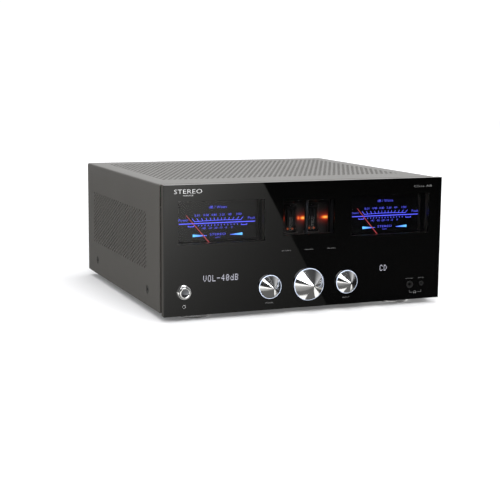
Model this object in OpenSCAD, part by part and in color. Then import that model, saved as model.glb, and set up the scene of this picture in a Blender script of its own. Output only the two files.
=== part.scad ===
/* [Body] */
// Width of the front panel
body_w = 430; // [400:1:450]
// Height of the front panel
body_h = 180; // [170:1:200]
// Whole depth, from the knob faces to the ends of the speaker terminals
total_d = 450; // [440:1:480]
// Depth of the sheet metal cover
cover_d = 388.7; // [380:0.1:400]
// How much narrower the cover is than the front panel
cover_inset = 1.5; // [0.5:0.1:4]
// Thickness of the sheet metal
sheet_t = 1.5; // [1:0.1:2]
// Outside radius of the cover's bends
bend_r = 3; // [2:0.5:5]

/* [Feet] */
// Height of the front panel's lower edge above the surface
foot_h = 8; // [6:1:20]
// Radius of a foot
foot_r = 24.7; // [18:0.1:30]
// Distance of the feet from the centre plane
foot_x = 159; // [120:1:170]
// Distance of the front feet behind the front face
foot_front = 40; // [30:1:80]
// Distance of the rear feet behind the front face
foot_rear = 363; // [300:1:375]

/* [Front panel] */
// Thickness of the acrylic front
glass_t = 4; // [3:0.5:5]
// Thickness of the whole front panel
front_t = 11.3; // [10:0.1:14]
// Depth of the dark recess between front panel and cover
recess_d = 10; // [6:1:12]
// Width of a meter window
meter_w = 127; // [110:1:130]
// Height of a meter window
meter_h = 58.5; // [50:0.5:62]
// Distance of a meter's centre from the centre plane
meter_x = 131; // [125:1:135]
// Height of a meter window's centre above the panel's lower edge
meter_z = 127.7; // [120:0.1:130]
// Depth of a dial behind the front face
dial_depth = 18; // [16:0.5:20]
// Width of the valve window
tube_window_w = 79; // [70:1:84]
// Height of the valve window
tube_window_h = 48.6; // [44:0.1:50]
// Height of the valve window's centre above the panel's lower edge
tube_window_z = 129; // [125:0.5:132]
// Distance of a display's centre from the centre plane
display_x = 132.5; // [125:0.5:140]
// Height of a display's centre above the panel's lower edge
display_z = 50; // [46:1:54]

/* [Meters] */
// Height of a needle's pivot above the panel's lower edge
pivot_z = 82; // [78:0.5:84]
// Length of a needle from its pivot to its tip
needle_len = 72; // [60:1:74]
// Angle of a needle at rest, to the left of upright
needle_rest = 41; // [35:1:45]

/* [Knobs] */
// Height of the knobs' axes above the panel's lower edge
knob_z = 33.2; // [28:0.1:38]
// Distance of a small knob's axis from the centre plane
knob_x = 60; // [50:1:70]
// Radius of the volume knob at the panel
volume_r = 23.2; // [18:0.1:26]
// How far the volume knob stands out of the panel
volume_proud = 19; // [16:1:19]
// Radius of a small knob at the panel
small_r = 17; // [12:0.5:19]
// How far a small knob stands out of the panel
small_proud = 16.5; // [12:0.5:19]
// Radius of a control's shaft
shaft_r = 3; // [2:0.5:4]

/* [Power button and jacks] */
// Distance of the power button from the centre plane
button_x = 186.3; // [180:0.1:190]
// Height of the power button above the panel's lower edge
button_z = 32.5; // [28:0.5:38]
// Radius of the power button
button_r = 8; // [6:0.5:9]
// Travel of the power button
button_travel = 1.5; // [1:0.5:2]
// Distance of the headphone jack from the centre plane
phones_x = 165.4; // [160:0.1:170]
// Height of the headphone jack above the panel's lower edge
phones_z = 22.3; // [20:0.1:30]
// Distance of the small input jack from the centre plane
aux_x = 185; // [182:0.5:188]
// Height of the small input jack above the panel's lower edge
aux_z = 23; // [20:0.5:30]

/* [Valves] */
// Distance of a valve's axis from the centre plane
tube_x = 17; // [15:0.5:20]
// Depth of the valves' axes behind the front face
tube_depth = 28; // [26:1:32]
// Radius of a valve's glass
tube_r = 10.5; // [9:0.5:11]

/* [Rear] */
// Distance of the outer speaker terminals from the centre plane
post_outer = 78; // [70:1:90]
// Distance of the inner speaker terminals from the centre plane
post_inner = 46; // [40:1:50]
// Height of the speaker terminals above the surface
post_z = 62; // [50:1:80]
// Distance between neighbouring line sockets
rca_pitch = 20; // [16:1:20]
// Radius of a line socket's shell
rca_r = 4.15; // [4:0.05:4.3]
// Distance of the mains inlet from the centre plane
inlet_x = 165; // [150:1:175]
// Height of the mains inlet above the surface
inlet_z = 60; // [40:1:70]
// Height of the mains switch above the surface
rocker_z = 104; // [95:1:120]

/* [Inside] */
// Radius of the ring transformer
toroid_r = 68; // [55:1:72]
// Height of the ring transformer
toroid_h = 60; // [40:1:65]
// Radius of a filter capacitor
cap_r = 17.5; // [12:0.5:20]
// Height of a filter capacitor
cap_h = 62; // [40:1:80]
// Number of fins on each heatsink
fins = 26; // [10:1:28]

/* [Hidden] */
$fn = 64;

// Planes across the depth, front to back
y_knob = -total_d / 2;
y_face = y_knob + volume_proud;
y_mask = y_face + glass_t;
y_back = y_face + front_t;
y_cover = y_back + recess_d;
y_sub = y_cover + 2;
y_rear = y_cover + cover_d;
panel_back = y_rear - sheet_t;
panel_front = panel_back - 2;
y_post = total_d / 2;
y_dial = y_face + dial_depth;
y_tube = y_face + tube_depth;
board_t = 1.6;
y_control = y_face + 40;

// Planes up the height
z_panel = foot_h;
z_low = z_panel + 1.9;
z_floor = z_low + sheet_t;
z_top = z_panel + body_h - 0.7;
z_roof = z_top - sheet_t;
z_board = z_floor + 11;

// Planes across the width
cover_x = (body_w - cover_inset) / 2;
wall_x = cover_x - sheet_t;
lip_x = wall_x - sheet_t;
lip_top = 45;
sub_x = 206;
flange = 9;

// Places that several pieces share
foot_places = [for (x = [-foot_x, foot_x], y = [foot_front, foot_rear]) [x, y_face + y]];
knob_places = [[-knob_x, small_r, small_proud], [0, volume_r, volume_proud],
    [knob_x, small_r, small_proud]];
side_screws = [for (s = [-1, 1], y = [79, 352]) [s, y_face + y]];
side_screw_z = z_panel + 25;
post_places = [-post_outer, -post_inner, post_inner, post_outer];
rca_places = [for (i = [0:5], z = [140, 158]) [-190 + rca_pitch * i, z]];
xlr_places = [[-56, 149], [-22, 149]];
coax_places = [[14, 149], [34, 149]];
optical_places = [[56, 149], [72, 149]];
usb_place = [92, 149];
trigger_place = [112, 149];
ground_place = [-196, 112];
toroid_y = -70;
cap_places = [[-32, 62], [32, 62], [-32, 108], [32, 108]];
supply_half = [72, 62];
supply_y = 85;
amp_x = [92, 149];
amp_y = [-100, 140];
sink_x = [150, 198];
sink_y = [-108, 152];
sink_z = [14, 134];
vents = 16;
vent_y = -100;
vent_pitch = 14;
vent_len = 40;
vent_w = 3.5;
standoff_places = concat([for (x = [-64, 64], y = [supply_y - 54, supply_y + 54]) [x, y]],
    [for (s = [-1, 1], x = [98, 143], y = [-94, 134]) [s * x, y]]);
rear_screw_places = concat([for (x = [-150, -50, 50, 150]) [x, z_top - 5]],
    [for (s = [-1, 1], z = [40, 90, 140]) [s * (cover_x - 5), z]]);

// A block between two corners
module block(low, high) {
    translate(low) cube(high - low);
}

// A round bar along Y, from y0 to y1
module bar(x, z, y0, y1, r) {
    translate([x, y0, z]) rotate([-90, 0, 0]) cylinder(h = y1 - y0, r = r);
}

// A cone along Y, from radius r0 at y0 to r1 at y1
module cone(x, z, y0, y1, r0, r1) {
    translate([x, y0, z]) rotate([-90, 0, 0]) cylinder(h = y1 - y0, r1 = r0, r2 = r1);
}

// A plate in the XZ plane, centred on x and z
module plate(x, z, w, h, y0, y1) {
    block([x - w / 2, y0, z - h / 2], [x + w / 2, y1, z + h / 2]);
}

// A child turned about a forward axis at x, z, its own Z pointing out of the front
module spun(x, y, z) {
    translate([x, y, z]) rotate([90, 0, 0]) rotate_extrude() children();
}

// ---------- casing ----------

module cover_outline(half, top, r) {
    translate([-half, z_low]) square([2 * half, top - z_low - r]);
    translate([-half + r, z_low]) square([2 * (half - r), top - z_low]);
    for (s = [-1, 1]) translate([s * (half - r), top - r]) circle(r);
}

module cover_slice(y0, y1, lip) {
    translate([0, y1, 0]) rotate([90, 0, 0]) linear_extrude(y1 - y0) difference() {
        cover_outline(cover_x, z_top, bend_r);
        translate([-wall_x + lip, z_low - 1])
            square([2 * (wall_x - lip), z_roof - lip - z_low + 1]);
    }
}

module top_cover() {
    color([0.36, 0.35, 0.33]) difference() {
        union() {
            cover_slice(y_cover, panel_back, 0);
            cover_slice(panel_back, y_rear, flange);
        }
        for (p = side_screws) translate([p[0] * cover_x, p[1], side_screw_z])
            rotate([0, 90, 0]) cylinder(h = 8, r = 6.2, center = true);
        for (p = rear_screw_places) bar(p[0], p[1], panel_back - 1, y_rear + 1, 1.5);
    }
}

module chassis_tray() {
    color([0.2, 0.2, 0.21]) difference() {
        union() {
            block([-wall_x, y_sub, z_low], [wall_x, panel_front, z_floor]);
            for (s = [-1, 1]) translate([s * (wall_x + lip_x) / 2, (y_sub + panel_front) / 2,
                (z_low + lip_top) / 2])
                cube([sheet_t, panel_front - y_sub, lip_top - z_low], center = true);
        }
        for (p = foot_places) translate([p[0], p[1], z_low - 1]) cylinder(h = 4, r = 2.5);
        translate([0, toroid_y, z_low - 1]) cylinder(h = 4, r = 4);
        for (s = [-1, 1], i = [0:vents - 1])
            translate([s * (sink_x[0] + sink_x[1]) / 2, vent_y + vent_pitch * i, z_low])
                cube([vent_len, vent_w, 4], center = true);
        for (p = side_screws) translate([p[0] * wall_x, p[1], side_screw_z])
            rotate([0, 90, 0]) cylinder(h = 8, r = 2, center = true);
    }
}

module rear_panel() {
    color([0.12, 0.12, 0.12]) difference() {
        block([-wall_x + 0.15, panel_front, z_low], [wall_x - 0.15, panel_back, z_roof - 0.2]);
        for (p = rca_places) bar(p[0], p[1], panel_front - 1, y_rear, 5);
        for (p = coax_places) bar(p[0], p[1], panel_front - 1, y_rear, 5);
        for (p = xlr_places) bar(p[0], p[1], panel_front - 1, y_rear, 11.8);
        for (p = optical_places) plate(p[0], p[1], 10, 10, panel_front - 1, y_rear);
        plate(usb_place[0], usb_place[1], 12, 11, panel_front - 1, y_rear);
        bar(trigger_place[0], trigger_place[1], panel_front - 1, y_rear, 4);
        bar(ground_place[0], ground_place[1], panel_front - 1, y_rear, 2.4);
        for (x = post_places) bar(x, post_z, panel_front - 1, y_rear, 6);
        plate(inlet_x, inlet_z, 28, 21, panel_front - 1, y_rear);
        plate(inlet_x, rocker_z, 13, 22, panel_front - 1, y_rear);
        for (p = rear_screw_places) bar(p[0], p[1], panel_front - 1, y_rear, 1.5);
    }
}

module cover_screws() {
    color([0.06, 0.06, 0.06]) for (p = side_screws)
        translate([p[0] * (wall_x + 0.6), p[1], side_screw_z]) rotate([0, p[0] * 90, 0])
            difference() {
                union() {
                    translate([0, 0, -0.6]) cylinder(h = 1.2, r = 6);
                    translate([0, 0, -8]) cylinder(h = 8, r = 2);
                }
                translate([0, 0, -0.2]) cylinder(h = 2, r = 2.3, $fn = 6);
            }
}

module rear_screws() {
    color([0.1, 0.1, 0.1]) for (p = rear_screw_places) difference() {
        union() {
            bar(p[0], p[1], y_rear, y_rear + 1.8, 3);
            bar(p[0], p[1], panel_front - 4, y_rear, 1.5);
        }
        plate(p[0], p[1], 3.6, 0.8, y_rear + 0.9, y_rear + 2);
        plate(p[0], p[1], 0.8, 3.6, y_rear + 0.9, y_rear + 2);
    }
}

module foot_rings() {
    color([0.75, 0.75, 0.77]) for (p = foot_places) translate([p[0], p[1], 0]) difference() {
        union() {
            translate([0, 0, 2.2]) cylinder(h = z_low - 2.2, r = foot_r);
            translate([0, 0, 1.4]) cylinder(h = 0.8, r1 = foot_r - 0.8, r2 = foot_r);
        }
        translate([0, 0, 1]) cylinder(h = 2, r = foot_r - 2.7);
        translate([0, 0, 2]) cylinder(h = 4, r = 5.5);
        cylinder(h = 20, r = 2.5);
    }
}

module foot_pads() {
    color([0.08, 0.08, 0.08]) for (p = foot_places) translate([p[0], p[1], 0]) difference() {
        cylinder(h = 3, r = foot_r - 2.75);
        translate([0, 0, -1]) cylinder(h = 5, r = 9);
    }
}

module foot_screws() {
    color([0.3, 0.3, 0.31]) for (p = foot_places) translate([p[0], p[1], 0]) {
        translate([0, 0, 3.6]) cylinder(h = 2.4, r = 4.5);
        translate([0, 0, 5]) cylinder(h = z_floor, r = 2.45);
        translate([0, 0, z_floor]) cylinder(h = 4, r = 4.6, $fn = 6);
    }
}

// ---------- front panel ----------

// Everything that is let into the front, as holes through it
module front_holes(y0, y1, slack) {
    for (k = knob_places) bar(k[0], z_panel + knob_z, y0, y1, shaft_r + 1.5 + slack);
    bar(-button_x, z_panel + button_z, y0, y1, button_r + 0.3 + slack);
    bar(phones_x, z_panel + phones_z, y0, y1, 4.5);
    bar(aux_x, z_panel + aux_z, y0, y1, 3);
}

module front_glass() {
    color([0.02, 0.02, 0.03, 0.6]) difference() {
        block([-body_w / 2, y_face, z_panel], [body_w / 2, y_mask, z_panel + body_h]);
        front_holes(y_face - 1, y_mask + 1, 0);
    }
}

module front_frame() {
    color([0.45, 0.43, 0.41]) difference() {
        block([-body_w / 2, y_mask, z_panel], [body_w / 2, y_back, z_panel + body_h]);
        front_holes(y_mask - 1, y_back + 1, 0.5);
        for (s = [-1, 1]) {
            plate(s * meter_x, z_panel + meter_z, meter_w, meter_h, y_mask - 1, y_back + 1);
            plate(s * display_x, z_panel + display_z, 60, 15, y_mask - 1, y_back + 1);
            bar(s * 35, z_panel + 78.2, y_mask - 1, y_back + 1, 1.5);
        }
        plate(0, z_panel + tube_window_z, tube_window_w + 5, tube_window_h + 5,
            y_mask - 1, y_back + 1);
    }
}

module front_subpanel() {
    low = z_floor + 0.2;
    high = z_roof - 1.2;
    color([0.03, 0.03, 0.03]) difference() {
        block([-sub_x, y_back, low], [sub_x, y_sub, high]);
        block([-sub_x + sheet_t, y_back - 1, low + sheet_t], [sub_x - sheet_t, y_cover,
            high - sheet_t]);
        for (s = [-1, 1])
            block([s * meter_x - meter_w / 2 - 3.7, y_back, 76.5],
                [s * meter_x + meter_w / 2 + 3.7, y_sub + 1, 167.5]);
        block([-43, y_back, 97], [43, y_sub + 1, 167.5]);
        for (k = knob_places) bar(k[0], z_panel + knob_z, y_back, y_sub + 1, 4.6);
        bar(-button_x, z_panel + button_z, y_back, y_sub + 1, 5);
        block([152, y_back, 18], [200, y_sub + 1, 46]);
    }
}

// ---------- meters ----------

module meter_housings() {
    color([0.05, 0.05, 0.06]) for (s = [-1, 1]) difference() {
        block([s * meter_x - meter_w / 2 - 3, y_back, 77],
            [s * meter_x + meter_w / 2 + 3, y_face + 38, 167]);
        block([s * meter_x - meter_w / 2 - 1.5, y_back - 1, 78.5],
            [s * meter_x + meter_w / 2 + 1.5, y_face + 36.5, 165.5]);
    }
}

module meter_dials() {
    color([0.06, 0.06, 0.2]) for (s = [-1, 1]) difference() {
        block([s * meter_x - meter_w / 2 - 1.4, y_dial, 78.6],
            [s * meter_x + meter_w / 2 + 1.4, y_dial + 1, 165.4]);
        bar(s * meter_x, z_panel + pivot_z, y_dial - 1, y_dial + 2, 2.5);
    }
}

module meter_movements() {
    color([0.35, 0.35, 0.36]) for (s = [-1, 1]) difference() {
        bar(s * meter_x, z_panel + pivot_z, y_dial + 1, y_face + 36.5, 10.5);
        bar(s * meter_x, z_panel + pivot_z, y_dial, y_dial + 13, 1.05);
    }
}

// A thin blade on a hub, with its counterweight and its shaft
module needle(x) {
    y_hub = y_dial - 3.5;
    color([0.75, 0.16, 0.2]) {
        translate([x, y_hub + 1, z_panel + pivot_z]) rotate([0, -needle_rest, 0])
            rotate([90, 0, 0]) linear_extrude(0.5)
                polygon([[-1.2, -9], [1.2, -9], [0.9, 0], [0.3, needle_len], [-0.3, needle_len],
                    [-0.9, 0]]);
        bar(x, z_panel + pivot_z, y_hub, y_hub + 2, 4);
        bar(x, z_panel + pivot_z, y_hub + 1, y_dial + 12, 1);
    }
}

module left_needle() {
    needle(-meter_x);
}

module right_needle() {
    needle(meter_x);
}

// ---------- valve window ----------

module tube_window_frame() {
    color([0.04, 0.04, 0.04]) {
        difference() {
            plate(0, z_panel + tube_window_z, tube_window_w + 5, tube_window_h + 5,
                y_mask, y_back + 2);
            plate(0, z_panel + tube_window_z, tube_window_w, tube_window_h,
                y_mask - 1, y_back + 3);
        }
        plate(0, z_panel + tube_window_z, 3, tube_window_h, y_face + 7, y_back + 2);
    }
}

module tube_bracket() {
    color([0.25, 0.25, 0.26]) difference() {
        union() {
            block([-42, y_face + 16, 104.5], [42, y_sub, 106]);
            block([-52, y_sub, 104.5], [52, y_face + 52, 106]);
            for (s = [-1, 1]) plate(s * 47, 119, 10, 26, y_sub, y_sub + 1.5);
        }
        for (s = [-1, 1]) translate([s * tube_x, y_tube, 103]) cylinder(h = 4, r = 7);
    }
}

module tube_sockets() {
    color([0.88, 0.85, 0.78]) for (s = [-1, 1]) translate([s * tube_x, y_tube, 0])
        difference() {
            union() {
                translate([0, 0, 106]) cylinder(h = 7, r = 11.3);
                translate([0, 0, 99]) cylinder(h = 7, r = 7);
            }
            for (i = [0:8]) rotate(i * 36 + 18) translate([5.9, 0, 98])
                cylinder(h = 16, r = 0.7);
        }
}

module bell_profile(r, top) {
    square([r, top - 4]);
    square([r - 4, top]);
    translate([r - 4, top - 4]) circle(4);
}

module tube_envelopes() {
    color([0.8, 0.85, 0.9, 0.4]) for (s = [-1, 1]) translate([s * tube_x, y_tube, 113])
        difference() {
            union() {
                rotate_extrude() intersection() {
                    bell_profile(tube_r, 46);
                    square([40, 60]);
                }
                translate([0, 0, 45.5]) cylinder(h = 3, r1 = 2.4, r2 = 0.8);
            }
            translate([0, 0, -1]) rotate_extrude() intersection() {
                bell_profile(tube_r - 1, 46);
                square([40, 60]);
            }
        }
}

module tube_cores() {
    color([0.42, 0.42, 0.45]) for (s = [-1, 1]) translate([s * tube_x, y_tube, 113]) {
        cylinder(h = 3, r = tube_r - 1);
        for (a = [0, 180]) rotate(a) translate([5, 0, 2]) cylinder(h = 34, r = 0.7);
        translate([0, 0, 7]) cylinder(h = 0.8, r = tube_r - 1.8);
        translate([0, 0, 35]) cylinder(h = 0.8, r = tube_r - 1.8);
        for (x = [-3.6, 3.6]) translate([x, 0, 21.4]) cube([5.6, 8, 27.4], center = true);
        for (i = [0:8]) rotate(i * 36 + 18) translate([5.9, 0, -7]) cylinder(h = 7.5, r = 0.5);
    }
}

// ---------- displays, lamps and controls ----------

module display(x) {
    color([0.03, 0.03, 0.035]) {
        plate(x, z_panel + display_z, 59.6, 14.6, y_mask + 0.4, y_back + 1);
        plate(x, z_panel + display_z, 66, 22, y_back, y_back + 7);
    }
}

module left_display() {
    display(-display_x);
}

module right_display() {
    display(display_x);
}

module indicator_leds() {
    color([0.8, 0.4, 0.1]) for (s = [-1, 1]) bar(s * 35, z_panel + 78.2, y_mask, y_back, 1.45);
}

module control_board() {
    color([0.05, 0.25, 0.12]) difference() {
        block([-200, y_control, 18], [200, y_control + board_t, 74]);
        for (x = [-195, 195], z = [23, 69])
            bar(x, z, y_control - 1, y_control + 3, 1.6);
    }
}

module encoders() {
    color([0.5, 0.5, 0.52]) for (k = knob_places) difference() {
        union() {
            plate(k[0], z_panel + knob_z, 14, 14, y_sub + 4, y_control);
            bar(k[0], z_panel + knob_z, y_back + 4, y_control, 4.5);
            bar(k[0], z_panel + knob_z, y_cover - 2.5, y_cover, 7);
        }
        bar(k[0], z_panel + knob_z, y_back, y_control - 3, shaft_r + 0.05);
    }
}

module control_shaft(k) {
    color([0.7, 0.7, 0.7])
        bar(k[0], z_panel + knob_z, y_face - k[2] + 5, y_control - 4, shaft_r);
}

module volume_shaft() {
    control_shaft(knob_places[1]);
}

module mode_shaft() {
    control_shaft(knob_places[0]);
}

module input_shaft() {
    control_shaft(knob_places[2]);
}

// A turned knob: a low rim at the panel, a tapered flank and a dished face
module knob(k) {
    r = k[1];
    h = k[2];
    lift = 0.6;
    color([0.82, 0.82, 0.84]) difference() {
        spun(k[0], y_face, z_panel + knob_z)
            polygon([[0, lift], [r - 0.4, lift], [r, lift + 0.4], [r, lift + 2.2],
                [r - 0.8, lift + 3], [1.6, h - 0.3], [0, h]]);
        bar(k[0], z_panel + knob_z, y_face - k[2] + 5, y_face + 1, shaft_r);
    }
}

module volume_knob() {
    knob(knob_places[1]);
}

module mode_knob() {
    knob(knob_places[0]);
}

module input_knob() {
    knob(knob_places[2]);
}

module power_bezel() {
    color([0.8, 0.8, 0.82]) difference() {
        spun(-button_x, y_face, z_panel + button_z)
            polygon([[0, 0], [button_r + 2.75, 0], [button_r + 2.75, 0.6], [button_r + 0.9, 2.8],
                [0, 2.8]]);
        bar(-button_x, z_panel + button_z, y_face - 4, y_face + 1, button_r + 0.3);
    }
}

module power_button() {
    y_cap = y_face - 5;
    color([0.85, 0.85, 0.87]) difference() {
        union() {
            spun(-button_x, y_face + 2, z_panel + button_z)
                polygon([[0, 0], [button_r, 0], [button_r, 6.2], [button_r - 0.8, 7],
                    [button_r - 1.8, 7], [0, 5.6]]);
            bar(-button_x, z_panel + button_z, y_face + 1.5, y_sub + 6, 2);
        }
        bar(-button_x, z_panel + button_z, y_cap - 1, y_cap + 0.2, 2.5);
    }
}

module power_switch() {
    color([0.1, 0.1, 0.1]) difference() {
        plate(-button_x, z_panel + button_z, 13, 13, y_sub + 3, y_control);
        bar(-button_x, z_panel + button_z, y_sub + 2, y_sub + 10, 2.3);
    }
}

module headphone_jack() {
    color([0.7, 0.68, 0.6]) difference() {
        union() {
            bar(phones_x, z_panel + phones_z, y_face - 1, y_face, 5.25);
            bar(phones_x, z_panel + phones_z, y_face, y_back + 3, 4.5);
            plate(phones_x, z_panel + phones_z, 16, 16, y_back + 2, y_control);
        }
        bar(phones_x, z_panel + phones_z, y_face - 2, y_control - 3, 3.2);
    }
}

module aux_jack() {
    color([0.7, 0.68, 0.6]) difference() {
        union() {
            bar(aux_x, z_panel + aux_z, y_face - 0.8, y_face, 3.5);
            bar(aux_x, z_panel + aux_z, y_face, y_back + 3, 3);
            plate(aux_x, z_panel + aux_z, 10, 10, y_back + 2, y_control);
        }
        bar(aux_x, z_panel + aux_z, y_face - 2, y_face + 16, 1.8);
    }
}

// ---------- power supply and amplifiers ----------

module transformer() {
    r = 6;
    half = (toroid_r - 22) / 2;
    color([0.55, 0.35, 0.1]) translate([0, toroid_y, z_floor + 2]) rotate_extrude()
        translate([22 + half, toroid_h / 2]) {
            square([2 * (half - r), toroid_h], center = true);
            square([2 * half, toroid_h - 2 * r], center = true);
            for (x = [-1, 1], y = [-1, 1])
                translate([x * (half - r), y * (toroid_h / 2 - r)]) circle(r);
        }
}

module transformer_clamp() {
    base = z_floor + 2;
    color([0.6, 0.6, 0.62]) translate([0, toroid_y, 0]) {
        translate([0, 0, z_floor]) cylinder(h = 2, r = 40);
        translate([0, 0, base + toroid_h]) cylinder(h = 2, r = 36);
        translate([0, 0, z_low]) cylinder(h = toroid_h + 12, r = 4);
        translate([0, 0, base + toroid_h + 2]) cylinder(h = 5, r = 7, $fn = 6);
    }
}

module supply_board() {
    color([0.05, 0.28, 0.14]) difference() {
        block([-supply_half[0], supply_y - supply_half[1], z_board],
            [supply_half[0], supply_y + supply_half[1], z_board + board_t]);
        for (p = standoff_places) translate([p[0], p[1], z_board - 1])
            cylinder(h = 4, r = 1.6);
    }
}

module filter_capacitors() {
    color([0.1, 0.12, 0.3]) for (p = cap_places)
        translate([p[0], p[1], z_board + board_t]) rotate_extrude()
            polygon([[0, 0], [cap_r - 0.8, 0], [cap_r, 0.8], [cap_r, cap_h - 1],
                [cap_r - 1, cap_h], [0, cap_h]]);
}

module amp_boards() {
    color([0.05, 0.28, 0.14]) difference() {
        for (s = [-1, 1]) translate([s * (amp_x[0] + amp_x[1]) / 2, (amp_y[0] + amp_y[1]) / 2,
            z_board + board_t / 2])
            cube([amp_x[1] - amp_x[0], amp_y[1] - amp_y[0], board_t], center = true);
        for (p = standoff_places) translate([p[0], p[1], z_board - 1])
            cylinder(h = 4, r = 1.6);
    }
}

module heatsinks() {
    depth = sink_y[1] - sink_y[0];
    color([0.15, 0.15, 0.16]) for (s = [-1, 1]) translate([0, sink_y[0], sink_z[0]])
        linear_extrude(sink_z[1] - sink_z[0]) {
            translate([s > 0 ? sink_x[0] : -sink_x[0] - 7, 0]) square([7, depth]);
            for (i = [0:fins - 1]) translate([s > 0 ? sink_x[0] : -sink_x[1],
                (depth - 2.2) * i / (fins - 1)]) square([sink_x[1] - sink_x[0], 2.2]);
        }
}

module output_transistors() {
    color([0.05, 0.05, 0.05]) for (s = [-1, 1], i = [0:3])
        translate([s * (sink_x[0] - 2.5), -70 + 55 * i, 62]) cube([5, 16, 20], center = true);
}

module board_standoffs() {
    color([0.75, 0.65, 0.35]) for (p = standoff_places) translate([p[0], p[1], z_floor]) {
        cylinder(h = z_board - z_floor, r = 3, $fn = 6);
        cylinder(h = z_board - z_floor + board_t, r = 1.55);
        translate([0, 0, z_board - z_floor + board_t]) cylinder(h = 2, r = 2.8);
    }
}

module input_board() {
    color([0.05, 0.25, 0.12])
        block([-203, panel_front - 14, 128], [124, panel_front - 14 + board_t, 170]);
}

// A flat cable from the control board, over the transformer, to the input board
module ribbon_cable() {
    y0 = y_control + board_t;
    y1 = panel_front - 14;
    color([0.5, 0.5, 0.52]) {
        block([58, y0, 60], [84, y0 + 1, 177]);
        block([58, y0, 176], [84, y1, 177]);
        block([58, y1 - 1, 150], [84, y1, 177]);
    }
}

// ---------- rear sockets ----------

module line_socket(p) {
    difference() {
        union() {
            bar(p[0], p[1], panel_front - 14 + board_t, panel_back, 5);
            bar(p[0], p[1], panel_back, panel_back + 1.5, 6.2);
            bar(p[0], p[1], panel_back, panel_back + 10.5, rca_r);
        }
        bar(p[0], p[1], panel_back + 2, panel_back + 12, 1.6);
    }
}

module rca_sockets() {
    color([0.8, 0.65, 0.3]) for (p = rca_places) line_socket(p);
}

module xlr_sockets() {
    color([0.15, 0.15, 0.15]) for (p = xlr_places) difference() {
        union() {
            bar(p[0], p[1], panel_front - 14 + board_t, panel_back, 11.8);
            plate(p[0], p[1], 26, 31, panel_back, panel_back + 2);
        }
        difference() {
            bar(p[0], p[1], panel_back - 12, panel_back + 3, 9.6);
            bar(p[0], p[1], panel_back - 13, panel_back + 1, 7.6);
        }
        for (a = [90, 210, 330])
            bar(p[0] + 4 * cos(a), p[1] + 4 * sin(a), panel_back - 10, panel_back + 3, 1.4);
    }
}

module digital_sockets() {
    color([0.1, 0.1, 0.1]) {
        for (p = coax_places) line_socket(p);
        for (p = optical_places) difference() {
            plate(p[0], p[1], 10, 10, panel_front - 14 + board_t, panel_back + 1.5);
            plate(p[0], p[1], 6.4, 6.4, panel_back + 0.7, panel_back + 3);
        }
        difference() {
            plate(usb_place[0], usb_place[1], 12, 11, panel_front - 14 + board_t,
                panel_back + 1.5);
            plate(usb_place[0], usb_place[1], 8.6, 7.8, panel_back - 8, panel_back + 3);
        }
        plate(usb_place[0], usb_place[1] + 0.6, 5.6, 3.2, panel_back - 9, panel_back);
        difference() {
            bar(trigger_place[0], trigger_place[1], panel_front - 14 + board_t,
                panel_back + 1.5, 4);
            bar(trigger_place[0], trigger_place[1], panel_front - 6, panel_back + 3, 1.8);
        }
    }
}

module speaker_terminals() {
    color([0.7, 0.6, 0.35]) for (x = post_places) difference() {
        union() {
            bar(x, post_z, panel_front - 10, panel_back, 6);
            bar(x, post_z, panel_back, panel_back + 3.5, 11);
            bar(x, post_z, panel_back, y_post - 1, 4);
        }
        bar(x, post_z, y_post - 19, y_post + 1, 2);
    }
}

// A fluted cap that screws down on a terminal
module post_cap(x) {
    y0 = panel_back + 8;
    color([0.7, 0.12, 0.1]) difference() {
        union() {
            bar(x, post_z, y0, y_post - 1, 9.4);
            cone(x, post_z, y_post - 1, y_post, 9.4, 8.4);
        }
        bar(x, post_z, y0 - 1, y_post + 1, 4.05);
        for (i = [0:11]) translate([x, 0, post_z]) rotate([0, i * 30, 0])
            bar(10, 0, y0 + 3, y_post + 1, 1.2);
    }
}

module post_cap_1() {
    post_cap(post_places[0]);
}

module post_cap_2() {
    post_cap(post_places[1]);
}

module post_cap_3() {
    post_cap(post_places[2]);
}

module post_cap_4() {
    post_cap(post_places[3]);
}

module ground_terminal() {
    color([0.75, 0.75, 0.77]) {
        bar(ground_place[0], ground_place[1], panel_front - 6, panel_back + 14, 2.4);
        bar(ground_place[0], ground_place[1], panel_back, panel_back + 1.5, 6);
        bar(ground_place[0], ground_place[1], panel_front - 4, panel_front, 4.4);
    }
}

module ground_nut() {
    y0 = panel_back + 3.5;
    color([0.8, 0.8, 0.82]) difference() {
        bar(ground_place[0], ground_place[1], y0, y0 + 8, 5.5);
        bar(ground_place[0], ground_place[1], y0 - 1, y0 + 9, 2.45);
        for (i = [0:15]) translate([ground_place[0], 0, ground_place[1]])
            rotate([0, i * 22.5, 0]) bar(5.9, 0, y0 - 1, y0 + 9, 0.7);
    }
}

module mains_inlet() {
    color([0.06, 0.06, 0.06]) {
        difference() {
            union() {
                plate(inlet_x, inlet_z, 28, 21, panel_back - 19, panel_back);
                plate(inlet_x, inlet_z, 50, 27, panel_back, panel_back + 2.5);
            }
            plate(inlet_x, inlet_z, 24, 17, panel_back - 16, panel_back + 3);
            for (s = [-1, 1]) bar(inlet_x + s * 20, inlet_z, panel_back - 1, panel_back + 3, 1.7);
        }
        for (s = [-1, 1])
            plate(inlet_x + s * 7, inlet_z - 1, 2, 4, panel_back - 16.5, panel_back - 1);
        plate(inlet_x, inlet_z - 5, 2, 4, panel_back - 16.5, panel_back - 1);
    }
}

module mains_switch() {
    color([0.08, 0.08, 0.08]) difference() {
        union() {
            plate(inlet_x, rocker_z, 13, 22, panel_back - 12, panel_back);
            plate(inlet_x, rocker_z, 16, 25, panel_back, panel_back + 2);
        }
        plate(inlet_x, rocker_z, 10.6, 19.6, panel_back - 8, panel_back + 3);
        translate([inlet_x, panel_back - 2, rocker_z]) rotate([0, 90, 0])
            cylinder(h = 11.6, r = 1.05, center = true);
    }
}

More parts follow.
